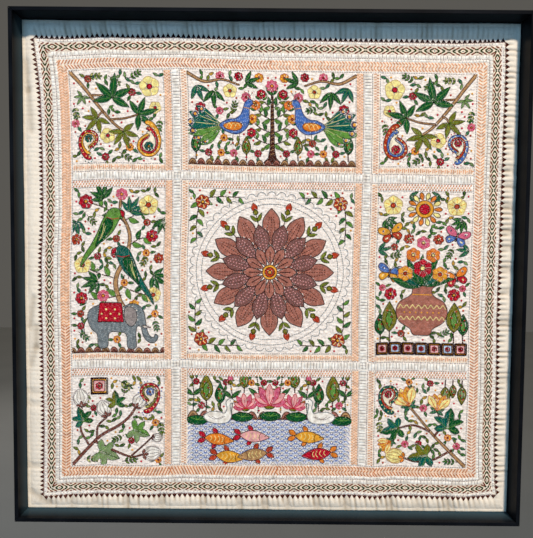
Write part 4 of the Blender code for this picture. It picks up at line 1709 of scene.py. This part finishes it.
def stitch_points(form, stitches, tree):
    """The points of stitches of one form, laid on the cloth, and the triangles between them."""
    shares, triangles = FORMS[form]
    start = on_cloth(stitches[:, 0:2] + RANDOM.uniform(-JITTER, JITTER, (len(stitches), 2)))
    end = on_cloth(stitches[:, 2:4] + RANDOM.uniform(-JITTER, JITTER, (len(stitches), 2)))
    width, height, lift = stitches[:, 4:5], stitches[:, 5:6], stitches[:, 6:7]
    run = end - start
    length = np.maximum(np.hypot(*run.T), 0.01)[:, None]
    across = np.column_stack([-run[:, 1], run[:, 0]]) / length * width / 2
    flat = start[:, None] + run[:, None] * shares[:, 0:1] + across[:, None] * shares[:, 1:2]
    rise = lift + np.where(shares[:, 2] > 0, height, SINK) * shares[:, 2]
    forward = Vector((0.0, 1.0, 0.0))
    rays = [tree.ray_cast(Vector((u, -RAY_START, v)), forward) for u, v in flat.reshape(-1, 2)]
    depth = np.array([hit[0].y for hit in rays])
    points = np.column_stack([flat[..., 0].ravel(), depth - rise.ravel(), flat[..., 1].ravel()]) * MM
    numbers = np.arange(len(stitches))[:, None, None] * len(shares) + triangles
    return points, numbers.reshape(-1, 3)


def stitch_mesh(name, batches, tree):
    """One mesh of all the stitches of a thread."""
    points, triangles, count = [], [], 0
    for form, batch in sorted(batches.items()):
        places, numbers = stitch_points(form, np.concatenate(batch), tree)
        points.append(places)
        triangles.append(numbers + count)
        count += len(places)
    mesh = mesh_of_triangles(name, np.concatenate(points), np.concatenate(triangles))
    planar_map(mesh)
    mesh.shade_smooth()
    return mesh


def make_stitches(tree):
    """One joined mesh for each thread of each part of the needlework."""
    made = []
    materials = {name: thread_material(name) for name in THREADS}
    for (part, thread), batches in sorted(sewn.items()):
        name = f"{part}_{thread}"
        piece = bpy.data.objects.new(name, stitch_mesh(name, batches, tree))
        piece.data.materials.append(materials[thread])
        bpy.context.scene.collection.objects.link(piece)
        made.append(piece)
    return made


def embroider():
    """The whole drawing, from what lies in front to the ground."""
    in_panels = inside_panels()
    taken[:] = ~in_panels
    medallion()
    centre_corners()
    peacock_panel()
    pond_panel()
    parrot_panel()
    pot_panel()
    corner_panels()
    scatter_fillers()
    taken[:] &= in_panels
    panel_frames()
    orange_bands()
    diamond_border()
    sawtooth_border()
    plain_rows()
    claim_ring(DASHED_LINE - 6, BASE - 6)
    ground_stitches()


# The stage

# The stage's floor and lights, in metres, watts and degrees. An area light's columns are its name,
# place, target, width, height, power and colour.
FLOOR_LEVEL = -1.45
FLOOR_HALF = 8.0
SURROUND = (0.100, 0.095, 0.085, 1.0)
KEY_PLACE = (2.3, -9.0, 8.9)
KEY_TARGET = (0.25, 0, 0.25)
KEY_POWER = 8150.0
KEY_COLOUR = (1.0, 0.85, 0.71)
KEY_RADIUS = 0.6
KEY_ANGLE = 16.0
KEY_BLEND = 0.5
AREA_LIGHTS = (
    ("fill", (-0.8, -4.0, 0.9), (0, 0, 0), 3.0, 3.0, 60.0, (0.23, 0.55, 0.93)),
    ("rear", (-2.5, 3.5, 1.5), (0, 0, 0), 2.0, 2.0, 16.0, (1.0, 0.97, 0.94)),
    ("floor_wash", (0, 5.5, 2.0), (0, 5.5, FLOOR_LEVEL), 6.0, 8.0, 10.0, (1.0, 0.95, 0.88)),
)

# The photograph's camera: its lens in pixels of a picture this high, a sensor in millimetres, its
# turns in degrees, and its place right of the middle, before the frame's front and up, in metres
FOCAL_PIXELS = 520
PICTURE_HEIGHT = 538
SENSOR = 36.0
YAW, PITCH, ROLL = 0.084, -2.62, 0.494
CAMERA_RIGHT, CAMERA_DISTANCE, CAMERA_UP = -0.0044, 1.2064, 0.062


def make_floor():
    """A pale floor below the hanging frame."""
    bm = bmesh.new()
    bmesh.ops.create_grid(bm, x_segments=8, y_segments=8, size=FLOOR_HALF)
    mesh = bpy.data.meshes.new("floor")
    bm.to_mesh(mesh)
    bm.free()
    floor = bpy.data.objects.new("floor", mesh)
    floor.location.z = FLOOR_LEVEL
    grey = linear("D6D3CC")
    made, tree, inputs = new_material("pale_floor", grey, {"Roughness": 0.8})
    colour = blend_colours(tree, noise(tree, 2.0), tinted(grey, 0.97), tinted(grey, 1.03))
    tree.links.new(colour, inputs["Base Color"])
    mesh.materials.append(made)
    bpy.context.scene.collection.objects.link(floor)
    return floor


def place_light(data, place, target):
    light = bpy.data.objects.new(data.name, data)
    light.location = place
    light.rotation_euler = (Vector(target) - Vector(place)).to_track_quat("-Z", "Y").to_euler()
    bpy.context.scene.collection.objects.link(light)


def area_light(name, place, target, width, height, power, colour):
    data = bpy.data.lights.new(name, "AREA")
    data.shape = "RECTANGLE"
    data.size, data.size_y = width, height
    data.energy = power
    data.color = colour
    place_light(data, place, target)


def make_stage():
    """The floor, a dim surround, and the lights. The key light leaves the floor out."""
    floor = make_floor()
    world = bpy.data.worlds.new("surround")
    world.use_nodes = True
    background = world.node_tree.nodes["Background"]
    background.inputs["Color"].default_value = SURROUND
    background.inputs["Strength"].default_value = 1.0
    bpy.context.scene.world = world
    key = bpy.data.lights.new("key", "SPOT")
    key.energy = KEY_POWER
    key.color = KEY_COLOUR
    key.shadow_soft_size = KEY_RADIUS
    key.spot_size = math.radians(KEY_ANGLE)
    key.spot_blend = KEY_BLEND
    place_light(key, KEY_PLACE, KEY_TARGET)
    unlit = bpy.data.collections.new("unlit_by_key")
    unlit.objects.link(floor)
    unlit.collection_objects[0].light_linking.link_state = "EXCLUDE"
    bpy.data.objects["key"].light_linking.receiver_collection = unlit
    for values in AREA_LIGHTS:
        area_light(*values)


def make_camera():
    """The photograph's camera, solved from the corners of the frame and the cloth."""
    data = bpy.data.cameras.new("camera")
    data.sensor_width = SENSOR
    data.lens = SENSOR * FOCAL_PIXELS / PICTURE_HEIGHT
    camera = bpy.data.objects.new("camera", data)
    turn = Matrix.Identity(4)
    for angle, axis in ((YAW, "Z"), (PITCH, "X"), (90, "X"), (ROLL, "Z")):
        turn = turn @ Matrix.Rotation(math.radians(angle), 4, axis)
    place = (CAMERA_RIGHT, FRAME_FRONT - CAMERA_DISTANCE, CAMERA_UP)
    camera.matrix_world = Matrix.Translation(place) @ turn
    bpy.context.scene.collection.objects.link(camera)
    bpy.context.scene.camera = camera
    bpy.context.scene.view_settings.view_transform = "Standard"


def main():
    make_camera()
    make_stage()
    cloth, tree = make_cloth()
    cloth.data.materials.append(cloth_material())
    embroider()
    stitches = make_stitches(tree)
    for piece in [cloth] + stitches:
        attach(piece, "root")
    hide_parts("kantha")
    # The left and bottom rails carry painted bluish light; the top and right rails keep the plain paint
    plain_paint, lit_paint = paint_material("satin_black", 0.0), paint_material("dusty_black", 1.0)
    for name, paint in (("rail_top", plain_paint), ("rail_right", plain_paint), ("rail_bottom", lit_paint),
                        ("rail_left", lit_paint), ("back_panel", board_material())):
        bpy.data.objects[name].material_slots[0].material = paint


main()
